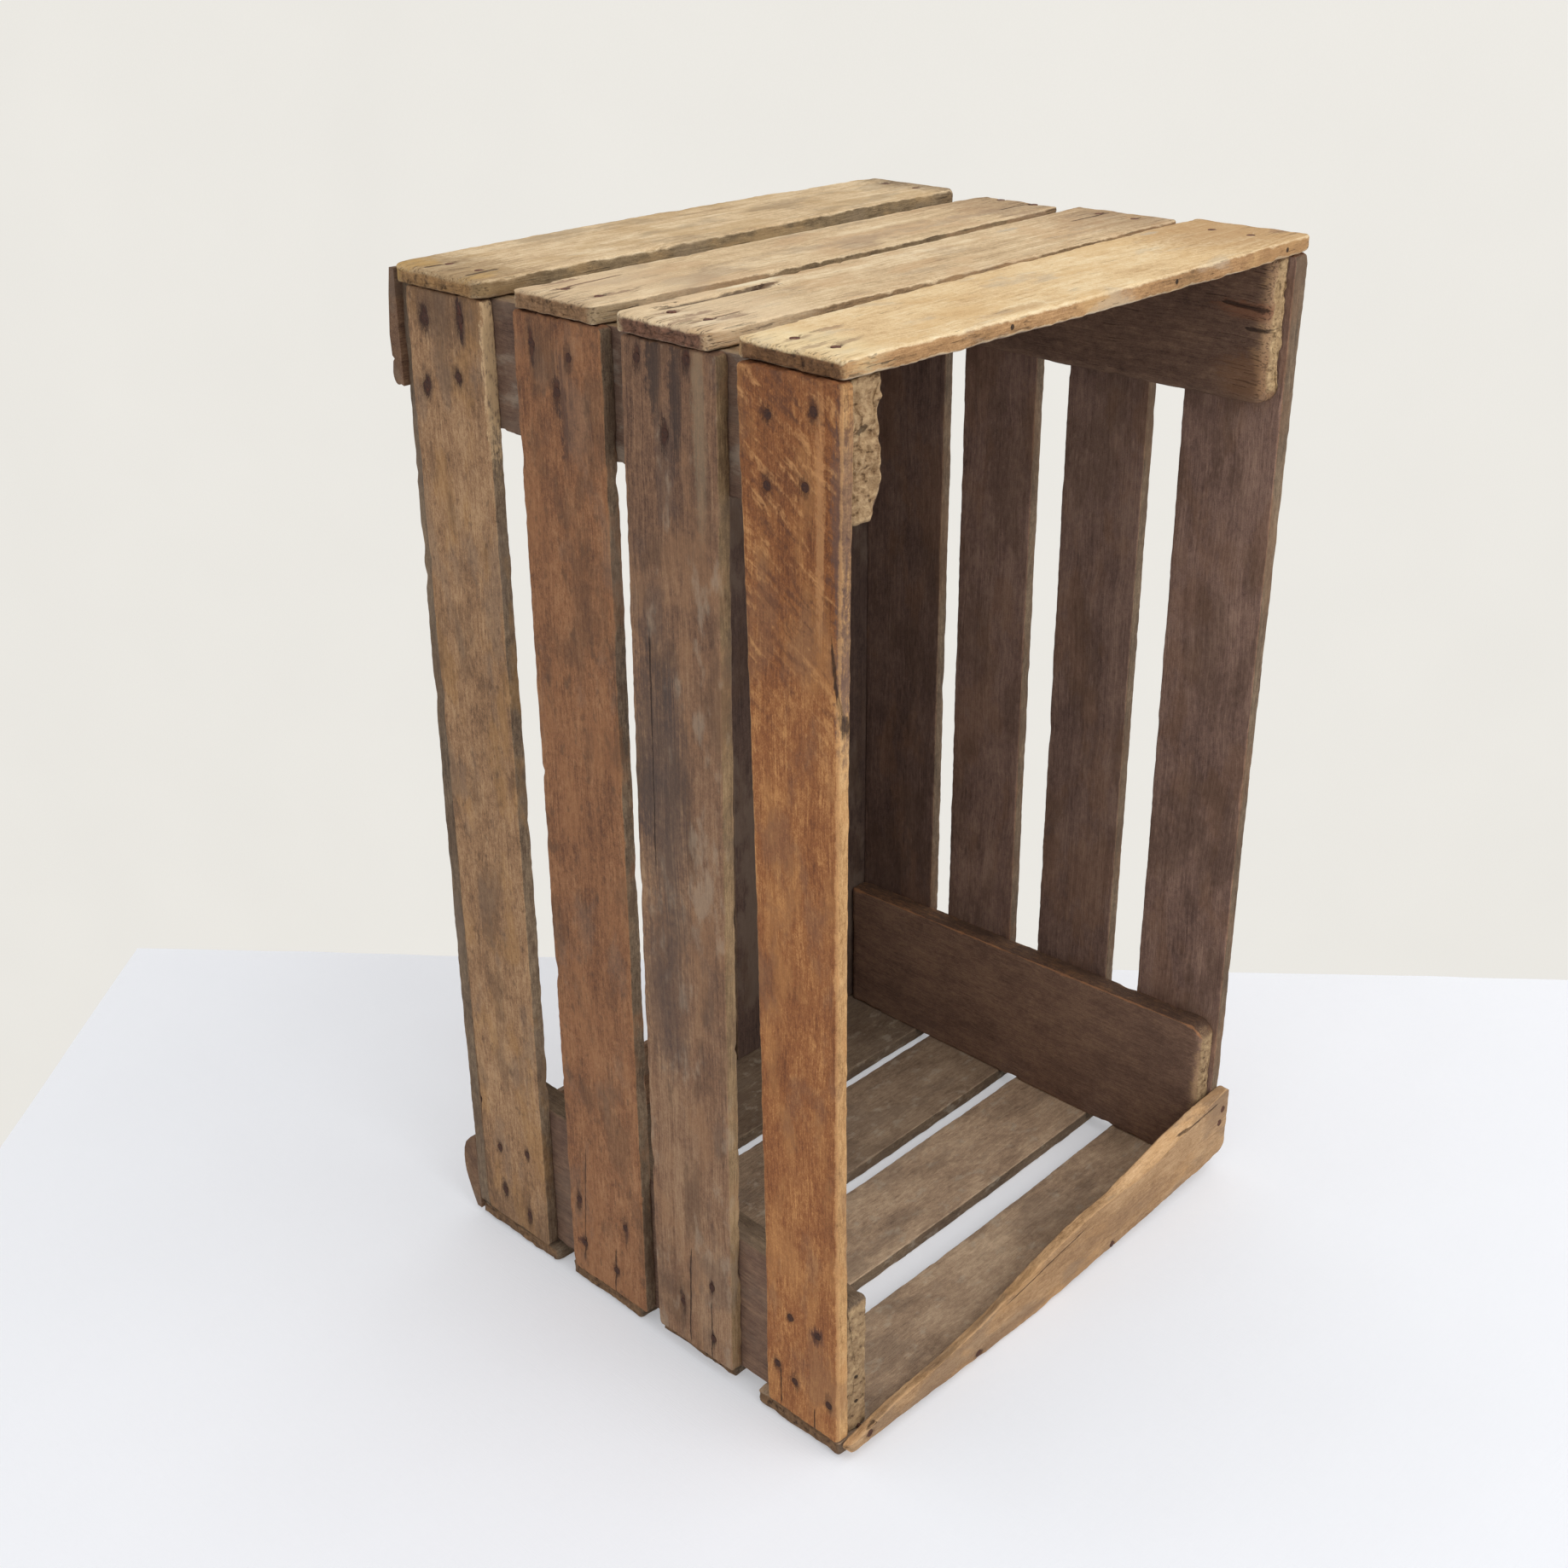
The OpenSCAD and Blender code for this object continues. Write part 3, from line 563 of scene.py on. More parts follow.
class Wood:
    """Old sawn wood of one board, built up in layers. Lengths are in millimetres of the crate's
    frame, with s along the board, u across it and v through it. Strengths and covers are shares
    from 0 to 1."""

    def __init__(self, node, seed):
        self.node = node
        self.material = bpy.data.materials.new(f"wood_{node}")
        net = self.net = Net(self.material)
        self.rng = np.random.default_rng(seed)
        order = list(family_of(node)[:3])
        self.low, self.high = (np.array(corner)[order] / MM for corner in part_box(node))
        axes = net.place()
        self.s, self.u, self.v = (axes[a] for a in order)
        self.shift = 6.17 * (seed % 100) + seed / 100
        sway = net.noise(net.vector(self.s * 0.012, self.shift, self.u * 0.006), detail=2.0) - 0.5
        self.bent = self.u + sway * 12

    def field(self, width, length, detail=3.0, roughness=0.6, offset=0.0, bent=False):
        """Noise from -0.5 to 0.5 whose patches have a width and a length along the board. Bent, it
        follows the sway of the grain."""
        u = self.bent if bent else self.u
        along = self.s * (1 / length) + (self.shift + offset)
        at = self.net.vector(u * (1 / width), self.v * (1 / width), along)
        return self.net.noise(at, detail=detail, roughness=roughness) - 0.5

    def ramp(self, tones):
        """The figure of the wood in dark, middle and light tones."""
        return self.net.node("ShaderNodeValToRGB", {
            "stops": list(zip((0.2, 0.5, 0.8), tones))}, {"Fac": self.figure})

    def lay(self, share, shade):
        self.colour = self.net.mix(share, self.colour, shade)

    def grain(self, tones, streaks, contrast, rise):
        """The wood's figure: clouds, blotches, mottling and grit, with fibres, grain lines and
        bands along the board. The wood is lighter by rise at its low and at its high end."""
        self.blotch = self.field(14, 26, 6, 0.62)
        self.mottle = self.field(2.4, 4.5, 5, 0.7)
        self.grit = self.field(0.6, 0.9, 3, 0.7)
        self.line = self.field(0.8, 90, 3, 0.5, bent=True)
        fibre = self.field(0.6, 12, 2, 0.6, offset=90, bent=True)
        band = self.field(6, 220, 3, bent=True)
        cloud = self.field(46, 110)
        sway = (cloud * 0.45 + self.blotch * 0.55 + self.mottle * 0.6 + self.grit * 0.55 + fibre * 0.45
                + self.line * (0.4 * streaks) + band * (0.35 * streaks))
        up = (self.s - float(self.low[0])) * (1 / float(self.high[0] - self.low[0]))
        self.figure = 0.5 + sway * contrast + rise[0] + up * (rise[1] - rise[0])
        self.colour = self.ramp(tones)
        self.height = (self.blotch * 0.8 + self.mottle * 0.6 + self.grit * 0.25
                       + self.line * (0.3 * streaks))

    def faces(self, inner, outer, narrow):
        """Other tones on the inner broad face and on the narrow faces."""
        facing = self.net.attribute("facing")
        if inner:
            self.lay(self.net.smooth(facing * float(-outer), 0.2, 0.8), self.ramp(inner))
        if narrow:
            self.lay(self.net.smooth(abs(facing) + self.mottle * 0.5, 0.75, 0.3), self.ramp(narrow))

    def tint(self, number, shade, cover, strength, width=26, length=60):
        """A colour in ragged patches over a share of the board."""
        patch = self.field(width, length, 7, 0.62, offset=20 + 7 * number)
        edge = 0.25 * (0.5 - cover)
        self.lay(self.net.smooth(patch, edge - 0.05, edge + 0.06) * strength, shade)

    def saw_marks(self, shade, dark, strength, lean, reach):
        """Ridges and furrows of a coarse saw, slanting across the grain, strongest within a reach of the high
        end. The ridges are painted in the light shade and the furrows in the dark one: painted highlight and
        painted shade of the relief, besides its bump."""
        fast = self.s * math.cos(lean) - self.u * math.sin(lean) + self.blotch * 7 + self.mottle * 2
        slow = self.u * math.cos(lean) + self.s * math.sin(lean)
        at = self.net.vector(fast * (1 / 4.8) + self.shift, slow * (1 / 26), self.v * 0.1)
        stroke = self.net.noise(at, detail=3.0, roughness=0.6) - 0.5 + self.mottle * 0.45
        top = float(self.high[0])
        patchy = self.s + self.blotch * 150
        where = 0.04 + self.net.smooth(patchy, top - reach, top - 0.3 * reach) * 0.96
        # Painted highlight on the ridges, then painted shade in the furrows
        self.lay(self.net.smooth(stroke, 0.02, 0.22) * where * strength, shade)
        self.lay(self.net.smooth(stroke, -0.04, -0.2) * where * strength, dark)
        self.height = self.height + stroke * where * (3.6 * strength)

    def stain(self, u, s, wide, long, strength, shade):
        """A ragged spot of colour at a place."""
        du = (self.u - u + self.mottle * 9) * (1 / wide)
        ds = (self.s - s + self.blotch * 24) * (1 / long)
        spot = self.net.smooth(du ** 2 + ds ** 2 + (self.line + self.mottle) * 1.6, 1.2, 0.1)
        self.lay(spot * strength, shade)

    def knot(self, u, s, size, shade):
        """A small knot: dark rings drawn out a little along the grain."""
        du, ds = self.u - u + self.blotch * 3, (self.s - s) * 0.62
        far = ((du ** 2 + ds ** 2) ** 0.5) * (1 / size)
        rings = abs(self.net.math("FRACT", far * 2.2) - 0.5) * 2
        inside = self.net.smooth(far + self.mottle * 0.5, 1.15, 0.6)
        self.lay(inside * (0.5 + 0.4 * rings), shade)
        self.height = self.height - inside * 0.4

    def checks(self, low, high, strength):
        """Short dark cracks along the grain, close together within a distance of each end."""
        crack = self.field(1.0, 30, 3, 0.5, offset=50, bent=True)
        near = 0.0
        if low:
            near = self.net.smooth(self.s + self.blotch * 30, self.low[0] + low, self.low[0])
        if high:
            near = self.net.smooth(self.s + self.blotch * 30, self.high[0] - high, self.high[0]) + near
        crack = self.net.smooth(crack + near * 0.085, 0.17, 0.21)
        self.lay(crack * strength, tone(66, 46, 34))
        self.height = self.height - crack * 0.9

    def nails(self, half_width, half_length, strength, low_share=1.0):
        """A dark, ragged smear round each nail, rusty in its middle. The smears differ in width,
        length, slant and depth of colour, and by low_share in size on the board's low half."""
        net = self.net
        middle = (self.low[0] + self.high[0]) / 2
        for head_s, head_u, _ in heads_on(self.node) / MM:
            size = low_share if head_s < middle else 1.0
            wide = float(size * half_width * self.rng.uniform(0.6, 1.25))
            long = float(size * half_length * self.rng.uniform(0.5, 1.3))
            deep = float(strength * self.rng.uniform(0.6, 1.1))
            ds = self.s - float(head_s) + self.blotch * 12
            du = self.u - float(head_u) + ds * float(self.rng.uniform(-0.1, 0.1))
            far = abs(du * (1 / wide)) ** 1.9 + abs(ds * (1 / long)) ** 1.7
            ragged = far + self.mottle * 2.2 + self.grit * 1.0 + self.line * 1.2
            self.lay(net.smooth(ragged, 3.4, 0.6) * (0.45 * deep), tone(78, 58, 46))
            self.lay(net.smooth(ragged, 1.3, 0.4) * deep, tone(54, 36, 30))
            self.lay(net.smooth(ragged, 0.5, 0.0) * (0.7 * deep), tone(98, 58, 44))

    def hole(self, s, u, v, reach, radius=1.3, strength=0.9):
        """A pit or an empty nail hole: dark within a radius of a point, or within a reach of it along the axes
        that have one. The dark colour is painted shade in the pit."""
        spread = [reach.get(axis, radius) for axis in "suv"]
        parts = [((axis - place) * (1 / size)) ** 2
                 for axis, place, size in zip((self.s, self.u, self.v), (s, u, v), spread)]
        inside = self.net.smooth(parts[0] + parts[1] + parts[2] + self.mottle * 1.2, 1.3, 0.5)
        # Painted shade: the pit's darkness laid into the colour
        self.lay(inside * strength, tone(40, 28, 22))
        self.height = self.height - inside * 1.5

    def split(self, u, start, stop, wide, slope=0.0, shade=tone(46, 32, 25)):
        """A crack along the grain that tapers at both ends. It moves across by slope. Drawn in a dark shade,
        the line is the crack itself and painted shade inside the open crack.
        """
        middle, half = (start + stop) / 2, abs(stop - start) / 2
        taper = self.net.smooth(abs(self.s - middle) * (1 / half), 1.0, 0.6)
        across = self.u - u - (self.s - start) * slope
        off = abs(across + self.blotch * 2.2 + self.line * 1.2) * (1 / wide)
        line = self.net.smooth(off + (1 - taper) * 2 + self.mottle, 1.1, 0.3)
        # In a dark shade this line is the crack and the painted shade inside it
        self.lay(line * 0.8, shade)
        self.height = self.height - line * 1.2

    def edges(self, strength, shade, end):
        """Rubbed long edges, and end grain in bundles of fibres with dark gaps. The end grain's tones follow
        the same bundles as its bump, dark in the hollows and light on the ridges, so besides the grain's own
        colour they hold painted shade; the dark gaps are painted shade in the deepest hollows.
        """
        net = self.net
        worn = net.attribute("worn") + self.grit * 0.6 + self.mottle * 1.2 + self.blotch
        self.lay(net.smooth(worn, 0.35, 1.0) * strength, shade)
        across = net.vector(self.u * 0.34, self.v * 0.22, self.s * 0.25 + self.shift)
        bundles = net.noise(across, detail=7.0, roughness=0.62)
        ends = net.attribute("end")
        # The end grain's tones follow its relief: the grain's own colour with painted shade in the hollows
        grain = net.node("ShaderNodeValToRGB", {"stops": list(zip((0.32, 0.68), end))},
                         {"Fac": bundles + self.grit * 0.25})
        self.lay(net.smooth(ends + self.mottle * 0.5, 0.2, 0.8), grain)
        # Painted shade in the deepest hollows of the end grain
        gaps = net.smooth(bundles, 0.4, 0.32) * ends
        self.lay(gaps * 0.35, tone(58, 42, 32))
        self.height = self.height + bundles * 1.6 * ends - gaps * 0.4

    def finish(self):
        self.net.finish(self.colour, 0.86 + 0.3 * self.blotch, self.net.bump(self.height), specular=0.25)
        return self.material


def wood(node, seed, tones, inner=None, outer=1, narrow=None, end=None, edge=(0.25, None),
         streaks=1.0, contrast=1.0, rise=(0.0, 0.0), tints=(), saw=None, checks=(0, 0, 0.0),
         nails=(2.4, 4.0, 0.7), stains=(), splits=(), knots=(), holes=()):
    """The finish of one board, in Wood's layers. A strength of 0 leaves a layer out."""
    made = Wood(node, seed)
    made.grain(tones, streaks, contrast, rise)
    made.faces(inner, outer, narrow)
    for number, values in enumerate(tints):
        made.tint(number, *values)
    if saw:
        made.saw_marks(*saw)
    for values in stains:
        made.stain(*values)
    for values in knots:
        made.knot(*values)
    if checks[2]:
        made.checks(*checks)
    made.nails(*nails)
    for values in splits:
        made.split(*values)
    made.edges(edge[0], edge[1] or tones[2], end or (tones[0], tones[1]))
    for values in holes:
        made.hole(*values)
    return made.finish()


def toned(tones, share):
    """The same wood in other light: every tone times a share."""
    return tuple(tuple(part * share for part in shade[:3]) + (1.0,) for shade in tones)


def dress(node, seed, shape, looks):
    """One worn board with its own wood."""
    made = board(node, seed, shape)
    made.data.materials.append(wood(node, seed, **looks))
    return made


# Woods, each in a dark, a middle and a light tone
TAN = (tone(102, 76, 54), tone(152, 115, 82), tone(184, 148, 110))
RED = (tone(98, 64, 45), tone(142, 97, 65), tone(171, 125, 88))
BROWN = (tone(86, 62, 49), tone(134, 100, 75), tone(166, 133, 102))
ORANGE = (tone(112, 67, 40), tone(154, 98, 58), tone(204, 148, 92))
INSIDE = (tone(88, 68, 60), tone(124, 98, 85), tone(152, 124, 106))
BLEACHED = (tone(168, 138, 102), tone(216, 186, 144), tone(242, 220, 182))
FLOOR = (tone(104, 84, 68), tone(150, 126, 102), tone(182, 158, 130))
CLEAT = (tone(80, 60, 50), tone(116, 90, 74), tone(148, 118, 94))
FLANK = (tone(70, 58, 46), tone(116, 96, 76), tone(150, 128, 102))
RED_FLANK = (tone(66, 48, 40), tone(98, 74, 58), tone(150, 108, 74))
MILD_FLANK = (tone(88, 72, 52), tone(134, 112, 82), tone(170, 146, 110))
PALE_FLANK = (tone(106, 84, 60), tone(152, 124, 90), tone(190, 158, 118))
OCHRE_FLANK = (tone(138, 97, 59), tone(192, 148, 98), tone(222, 180, 128))
LID = (tone(130, 96, 64), tone(174, 138, 100), tone(204, 170, 130))
FRESH = (tone(160, 122, 82), tone(210, 168, 122), tone(232, 196, 152))
CUT_END = (tone(100, 74, 54), tone(148, 116, 84))
PALE_END = (tone(126, 98, 70), tone(188, 158, 118))

# Colours that lie over them
OCHRE = tone(172, 128, 76)
OLD_GREY = tone(124, 106, 90)
DIRT = tone(88, 66, 50)
STAIN = tone(76, 66, 62)
DUST = tone(190, 176, 154)
KNOT = tone(74, 46, 42)
CRACK = tone(70, 48, 34)
SMEAR = tone(128, 92, 74)


class BoardsOperator:
    """Dresses every board of one family, each with its own shape and looks."""

    boards = {}

    def execute(self, context):
        for node, (seed, shape, looks) in self.boards.items():
            dress(node, seed, shape, looks)
        return {"FINISHED"}


LEFT = dict(inner=INSIDE, outer=-1)


class CRATE_OT_left_wall(BoardsOperator, bpy.types.Operator):
    """Adds the four outer slats of the left wall"""

    bl_idname = "crate.left_wall"
    bl_label = "Left wall"
    boards = {
        "left_slat_1": (101, Shape(dimple=(3.6, 8), fine=3, step=2), dict(
            tones=TAN, narrow=FLANK, nails=(3.6, 9, 0.95, 0.6), rise=(0.06, 0.0), streaks=0.5,
            contrast=1.35, tints=((OCHRE, 0.3, 0.35), (OLD_GREY, 0.25, 0.35), (DIRT, 0.2, 0.4),
                                  (DIRT, 0.08, 0.5, 5, 9)),
            stains=((110, 584, 44, 22, 0.45, DIRT), (79, 560, 4, 64, 0.8, tone(214, 180, 136)),
                    (112, 15, 40, 18, 0.3, DIRT)), **LEFT)),
        "left_slat_2": (102, Shape(dimple=(3, 8), fine=3, step=2), dict(
            tones=RED, narrow=FLANK, nails=(2.8, 12, 0.65, 0.8), rise=(0.05, -0.05), streaks=0.6,
            contrast=1.3, tints=((tone(156, 108, 72), 0.3, 0.4), (OLD_GREY, 0.2, 0.3), (DIRT, 0.25, 0.4),
                                 (DIRT, 0.08, 0.5, 4, 10)),
            stains=((34, 572, 12, 20, 0.5, DIRT), (10, 63, 3, 8, 0.6, KNOT), (51, 30, 3, 5, 0.7, KNOT),
                    (22, 545, 3, 34, 0.6, tone(66, 48, 44))),
            splits=((50.3, 4, 119, 0.4, -0.081, CRACK), (22.5, 4, 50, 0.6, -0.07, CRACK)), **LEFT)),
        "left_slat_3": (103, Shape(dimple=(3, 8), fine=3, step=2), dict(
            tones=BROWN, narrow=toned(PALE_FLANK, 0.85), nails=(2.6, 11, 0.9, 0.8), rise=(0.16, -0.12),
            streaks=1.2,
            tints=((tone(160, 120, 86), 0.3, 0.4), (STAIN, 0.25, 0.35), (DIRT, 0.25, 0.45),
                   (tone(176, 156, 132), 0.12, 0.4, 16, 40)),
            stains=((-38, 370, 24, 90, 0.55, STAIN), (-34, 250, 20, 60, 0.4, STAIN),
                    (-43, 583, 6, 30, 0.8, tone(64, 52, 46)), (-57, 568, 5, 32, 0.65, tone(64, 52, 46)),
                    (-72, 560, 5, 60, 0.4, tone(164, 142, 112))),
            splits=((-42.5, 2, 92, 0.5, -0.045), (-60, 2, 60, 0.4, -0.03), (-30, 300, 470, 0.4, -0.02)),
            **LEFT)),
        "left_slat_4": (104, Shape(
            dimple=(3.2, 3.4), fine=1.8, step=2, arris=1.2, rounds={(-1, -1): 1.2},
            torn=(-1, 392, 600, -161, -150.5, -147, 0.9, 60)), dict(
            tones=ORANGE, narrow=OCHRE_FLANK, nails=(3.6, 4.2, 0.6, 0.85), edge=(0.5, tone(216, 168, 114)),
            saw=(tone(214, 158, 102), tone(100, 64, 46), 0.7, 0.57, 230), rise=(0.03, -0.06), streaks=0.5,
            contrast=1.15, tints=((tone(188, 134, 82), 0.3, 0.4), (tone(126, 92, 70), 0.25, 0.4)),
            stains=((-145.5, 530, 3, 66, 0.6, tone(208, 152, 100)), (-156, 535, 6, 50, 0.6, tone(112, 88, 78)),
                    (-159, 462, 5, 56, 0.7, tone(106, 84, 76)), (-163, 330, 4, 90, 0.4, tone(206, 150, 92)),
                    (-164.8, 500, 3.0, 130, 0.75, tone(228, 182, 128)), (-142, 76, 5, 7, 0.75, KNOT),
                    (-127, 36, 2.6, 11, 0.4, CRACK), (-151, 35, 3.4, 10, 0.35, CRACK)),
            splits=((-161.3, 396, 486, 0.8, 0.118), (-115.3, 8, 42, 0.6), (-140.7, 6, 27, 0.5)), **LEFT)),
    }


class CRATE_OT_right_wall(BoardsOperator, bpy.types.Operator):
    """Adds the four slats of the right wall, seen from inside"""

    bl_idname = "crate.right_wall"
    bl_label = "Right wall"
    # Each slat's inner tones are the inside wood times a share: painted light and shade, the first slat darkest
    # and the fourth, by the open front, lightest
    boards = {f"right_slat_{i}": (200 + i, Shape(wander=0.35, nick=0.4), dict(
        tones=TAN if i % 2 else RED, inner=toned(INSIDE, share), narrow=FLANK, edge=(0.15, None),
        contrast=1.1, tints=((tone(134, 98, 70), 0.3, 0.3), (DIRT, 0.3, 0.35))))
        for i, share in ((1, 0.8), (2, 1.14), (3, 1.04), (4, 1.32))}


def smears(places, wide, long, strength):
    """Stains of one size at places along and across a board."""
    return tuple((u, s, wide, long, strength, SMEAR) for s, u in places)


class CRATE_OT_upper_end(BoardsOperator, bpy.types.Operator):
    """Adds the four bleached slats of the upper end"""

    bl_idname = "crate.upper_end"
    bl_label = "Upper end"
    boards = {
        "top_slat_1": (301, Shape(
            ends=(1, 3), fray=1.8, crumble=1.4, lump=4, arris=1.8, fine=2.5, step=2,
            corners={(-1, -1): 9, (-1, 1): 11, (1, 1): 8, (1, -1): 9}), dict(
            tones=BLEACHED, narrow=toned(MILD_FLANK, 0.85), end=(tone(122, 92, 60), tone(174, 134, 88)),
            inner=INSIDE, nails=(1.6, 4, 0.5), checks=(50, 40, 0.4), streaks=1.6, edge=(0.1, None),
            tints=((tone(190, 156, 108), 0.4, 0.45), (tone(150, 130, 104), 0.25, 0.4)),
            stains=((112, -180, 60, 40, 0.55, tone(146, 116, 78)), (110, 182, 60, 30, 0.5, DIRT),
                    (140, -178, 14, 14, 0.5, tone(202, 158, 84)), (90, -176, 7, 12, 0.5, tone(206, 164, 96))),
            splits=((96, -184, -156, 1.6, 0.05, CRACK), (128, -184, -164, 1.4, -0.05, CRACK)))),
        "top_slat_2": (302, Shape(
            ends=(1, 1.8), fray=1.8, crumble=1.4, lump=3.5, arris=1.3, fine=2.5, step=2,
            corners={(-1, -1): 5, (-1, 1): 3, (1, 1): 3, (1, -1): 2}), dict(
            tones=BLEACHED, narrow=MILD_FLANK, end=(tone(114, 86, 60), tone(168, 130, 94)), inner=INSIDE,
            nails=(1.6, 5, 0.45), checks=(50, 40, 0.45), streaks=1.6,
            tints=((tone(196, 158, 118), 0.4, 0.45), (tone(158, 136, 114), 0.25, 0.4)),
            stains=((28, -188, 60, 10, 0.3, tone(150, 118, 86)), (30, 165, 60, 60, 0.45, tone(146, 114, 84)),
                    (30, -150, 60, 46, 0.35, tone(232, 206, 168)),
                    (49, -158, 2.5, 14, 0.6, SMEAR), (10, -160, 2.5, 18, 0.5, SMEAR)),
            splits=((38, -184, -120, 1.0, 0.04, SMEAR), (12, 128, 174, 0.8)))),
        "top_slat_3": (303, Shape(
            ends=(1, 2.2), fray=2.2, crumble=1.4, lump=4, arris=1.5, fine=1.8, step=1.5,
            corners={(-1, -1): 4, (-1, 1): 8, (1, 1): 2, (1, -1): 3},
            torn=(1, -178, -80, -27, -26, -33, 1.9, 12)), dict(
            tones=BLEACHED, narrow=PALE_FLANK, end=(tone(94, 68, 54), tone(150, 108, 84)), inner=INSIDE,
            nails=(1.6, 5, 0.45), checks=(70, 40, 0.5), streaks=1.8,
            tints=((tone(200, 160, 116), 0.35, 0.45), (tone(160, 138, 114), 0.25, 0.35)),
            stains=((-50, -152, 60, 44, 0.5, tone(236, 210, 172)), (-50, 165, 60, 60, 0.45, tone(150, 116, 84)),
                    (-20, -98, 5, 24, 0.9, tone(240, 222, 186)), (-29, 90, 3, 9, 0.6, DUST),
                    (-66, -170, 5, 16, 0.5, tone(240, 220, 186)), (-43, -172, 3, 12, 0.5, tone(240, 220, 186)),
                    (-29, -98, 2.4, 11, 0.9, tone(92, 64, 44)), *smears(
                        ((-168, -36), (-176, -54), (-163, -50), (-158, -66)), 3, 12, 0.55)),
            splits=((-27.6, -178, -88, 1.7, -0.01, CRACK), (-62, -186, -140, 0.9, 0.03, SMEAR),
                    (-40, 126, 174, 0.7)))),
        "top_slat_4": (304, Shape(
            ends=(1, 2.4), fray=1.6, crumble=1.0, lump=4, wander=0.4, nick=0.4, arris=2.0, fine=2.5,
            step=2, corners={(-1, -1): 2, (-1, 1): 5, (1, 1): 6, (1, -1): 8}), dict(
            tones=(tone(184, 144, 98), tone(229, 197, 148), tone(248, 229, 190)),
            narrow=(tone(108, 80, 50), tone(168, 128, 86), tone(206, 164, 116)),
            end=(tone(90, 62, 41), tone(142, 103, 68)), inner=INSIDE,
            nails=(1.6, 4, 0.4), checks=(40, 20, 0.3), contrast=0.9, streaks=1.0,
            tints=((tone(214, 174, 118), 0.3, 0.45), (DUST, 0.1, 0.4)),
            stains=((-120, 175, 60, 80, 0.65, tone(176, 134, 88)), (-92, 128, 3, 8, 0.6, DUST),
                    (-152, -60, 5, 30, 0.4, tone(168, 126, 82)), (-140, 183, 6, 9, 0.4, tone(120, 80, 66)),
                    (-125, -168, 40, 20, 0.4, tone(246, 226, 178)), *smears(
                        ((-169, -116), (-173, -131), (-147, -114), (-160, -136)), 2.8, 11, 0.5)),
            holes=tuple((x, -158, 595.5, dict(u=9)) for x in (-75, 54, 159)))),
    }


class CRATE_OT_lower_end(BoardsOperator, bpy.types.Operator):
    """Adds the four slats that the crate stands on"""

    bl_idname = "crate.lower_end"
    bl_label = "Lower end"
    # Each slat's tones are the floor wood times a share, from 0.64 to 1.52: painted light and shade, the first
    # slat darkest and the third lightest
    boards = {f"floor_slat_{i}": (400 + i, Shape(wander=0.3, nick=0.3, fray=1.5, crumble=1.5), dict(
        tones=toned(FLOOR, share), narrow=FLANK, end=CUT_END, nails=(1.6, 3.0, 0.3), streaks=0.4,
        tints=((OLD_GREY, 0.3, 0.35), (DUST, 0.12, 0.4, 9, 14), (DIRT, 0.2, 0.3))))
        for i, share in ((1, 0.64), (2, 1.0), (3, 1.52), (4, 1.45))}


class CRATE_OT_cleats(BoardsOperator, bpy.types.Operator):
    """Adds the four corner cleats"""

    bl_idname = "crate.cleats"
    bl_label = "Cleats"
    boards = {
        "left_upper_cleat": (501, Shape(
            rounds={(-1, 1): 10}, fray=3.4, lump=5.5, steep=2.1, crumble=1.0, nick=1.0, chewed=(1.0, 1),
            wander=0.6, fine=1.2, step=2, rings=28), dict(
            tones=toned(CLEAT, 0.9), end=(tone(124, 92, 60), tone(198, 167, 126)), narrow=PALE_FLANK,
            streaks=0.6, tints=((DUST, 0.15, 0.3), (OLD_GREY, 0.3, 0.4)),
            holes=((-158, 567, -168, dict(s=9, v=4), 2.6, 0.6),))),
        "left_lower_cleat": (502, Shape(crumble=1.5, fine=2.5, rings=12), dict(
            tones=CLEAT, end=PALE_END, narrow=FLANK, tints=((OLD_GREY, 0.3, 0.3),),
            holes=tuple((-159, z, -168.5, dict(s=9)) for z in (29, 46)))),
        "right_upper_cleat": (503, Shape(
            rounds={(-1, -1): 6}, ends=(4, 1), fray=2.5, lump=4, crumble=3, fine=2.5, rings=14), dict(
            tones=toned(CLEAT, 0.92), end=(tone(150, 120, 84), tone(208, 176, 132)), narrow=RED_FLANK,
            checks=(40, 0, 0.5), streaks=0.6,
            splits=((563, -158, -121, 1.4, 0.06), (552, -160, -138, 1.2, 0.04)),
            stains=((545, -160, 90, 13, 0.75, tone(178, 142, 104)), (562, -144, 6, 24, 0.6, tone(138, 92, 66)),
                    (526, -148, 16, 26, 0.5, tone(136, 98, 68)), (553, -160, 3, 5, 0.9, CRACK)))),
        "right_lower_cleat": (504, Shape(ends=(3, 1), crumble=2, fine=2.5, rings=12), dict(
            tones=toned(CLEAT, 1.28), end=PALE_END, narrow=RED_FLANK, streaks=0.6,
            edge=(0.7, tone(172, 118, 76)), stains=((40, -160, 90, 9, 0.75, tone(178, 144, 106)),))),
    }


class CRATE_OT_base(BoardsOperator, bpy.types.Operator):
    """Adds the five boards of the closed side"""

    bl_idname = "crate.base"
    bl_label = "Base boards"
    # The inner faces are the inside wood times 0.48: painted shade deep in the crate
    boards = {f"base_board_{i}": (600 + i, Shape(), dict(
        tones=TAN if i % 2 else BROWN, inner=toned(INSIDE, 0.48), narrow=FLANK, end=CUT_END,
        tints=((OLD_GREY, 0.35, 0.5), (DIRT, 0.25, 0.4)))) for i in (1, 2, 3, 4, 5)}


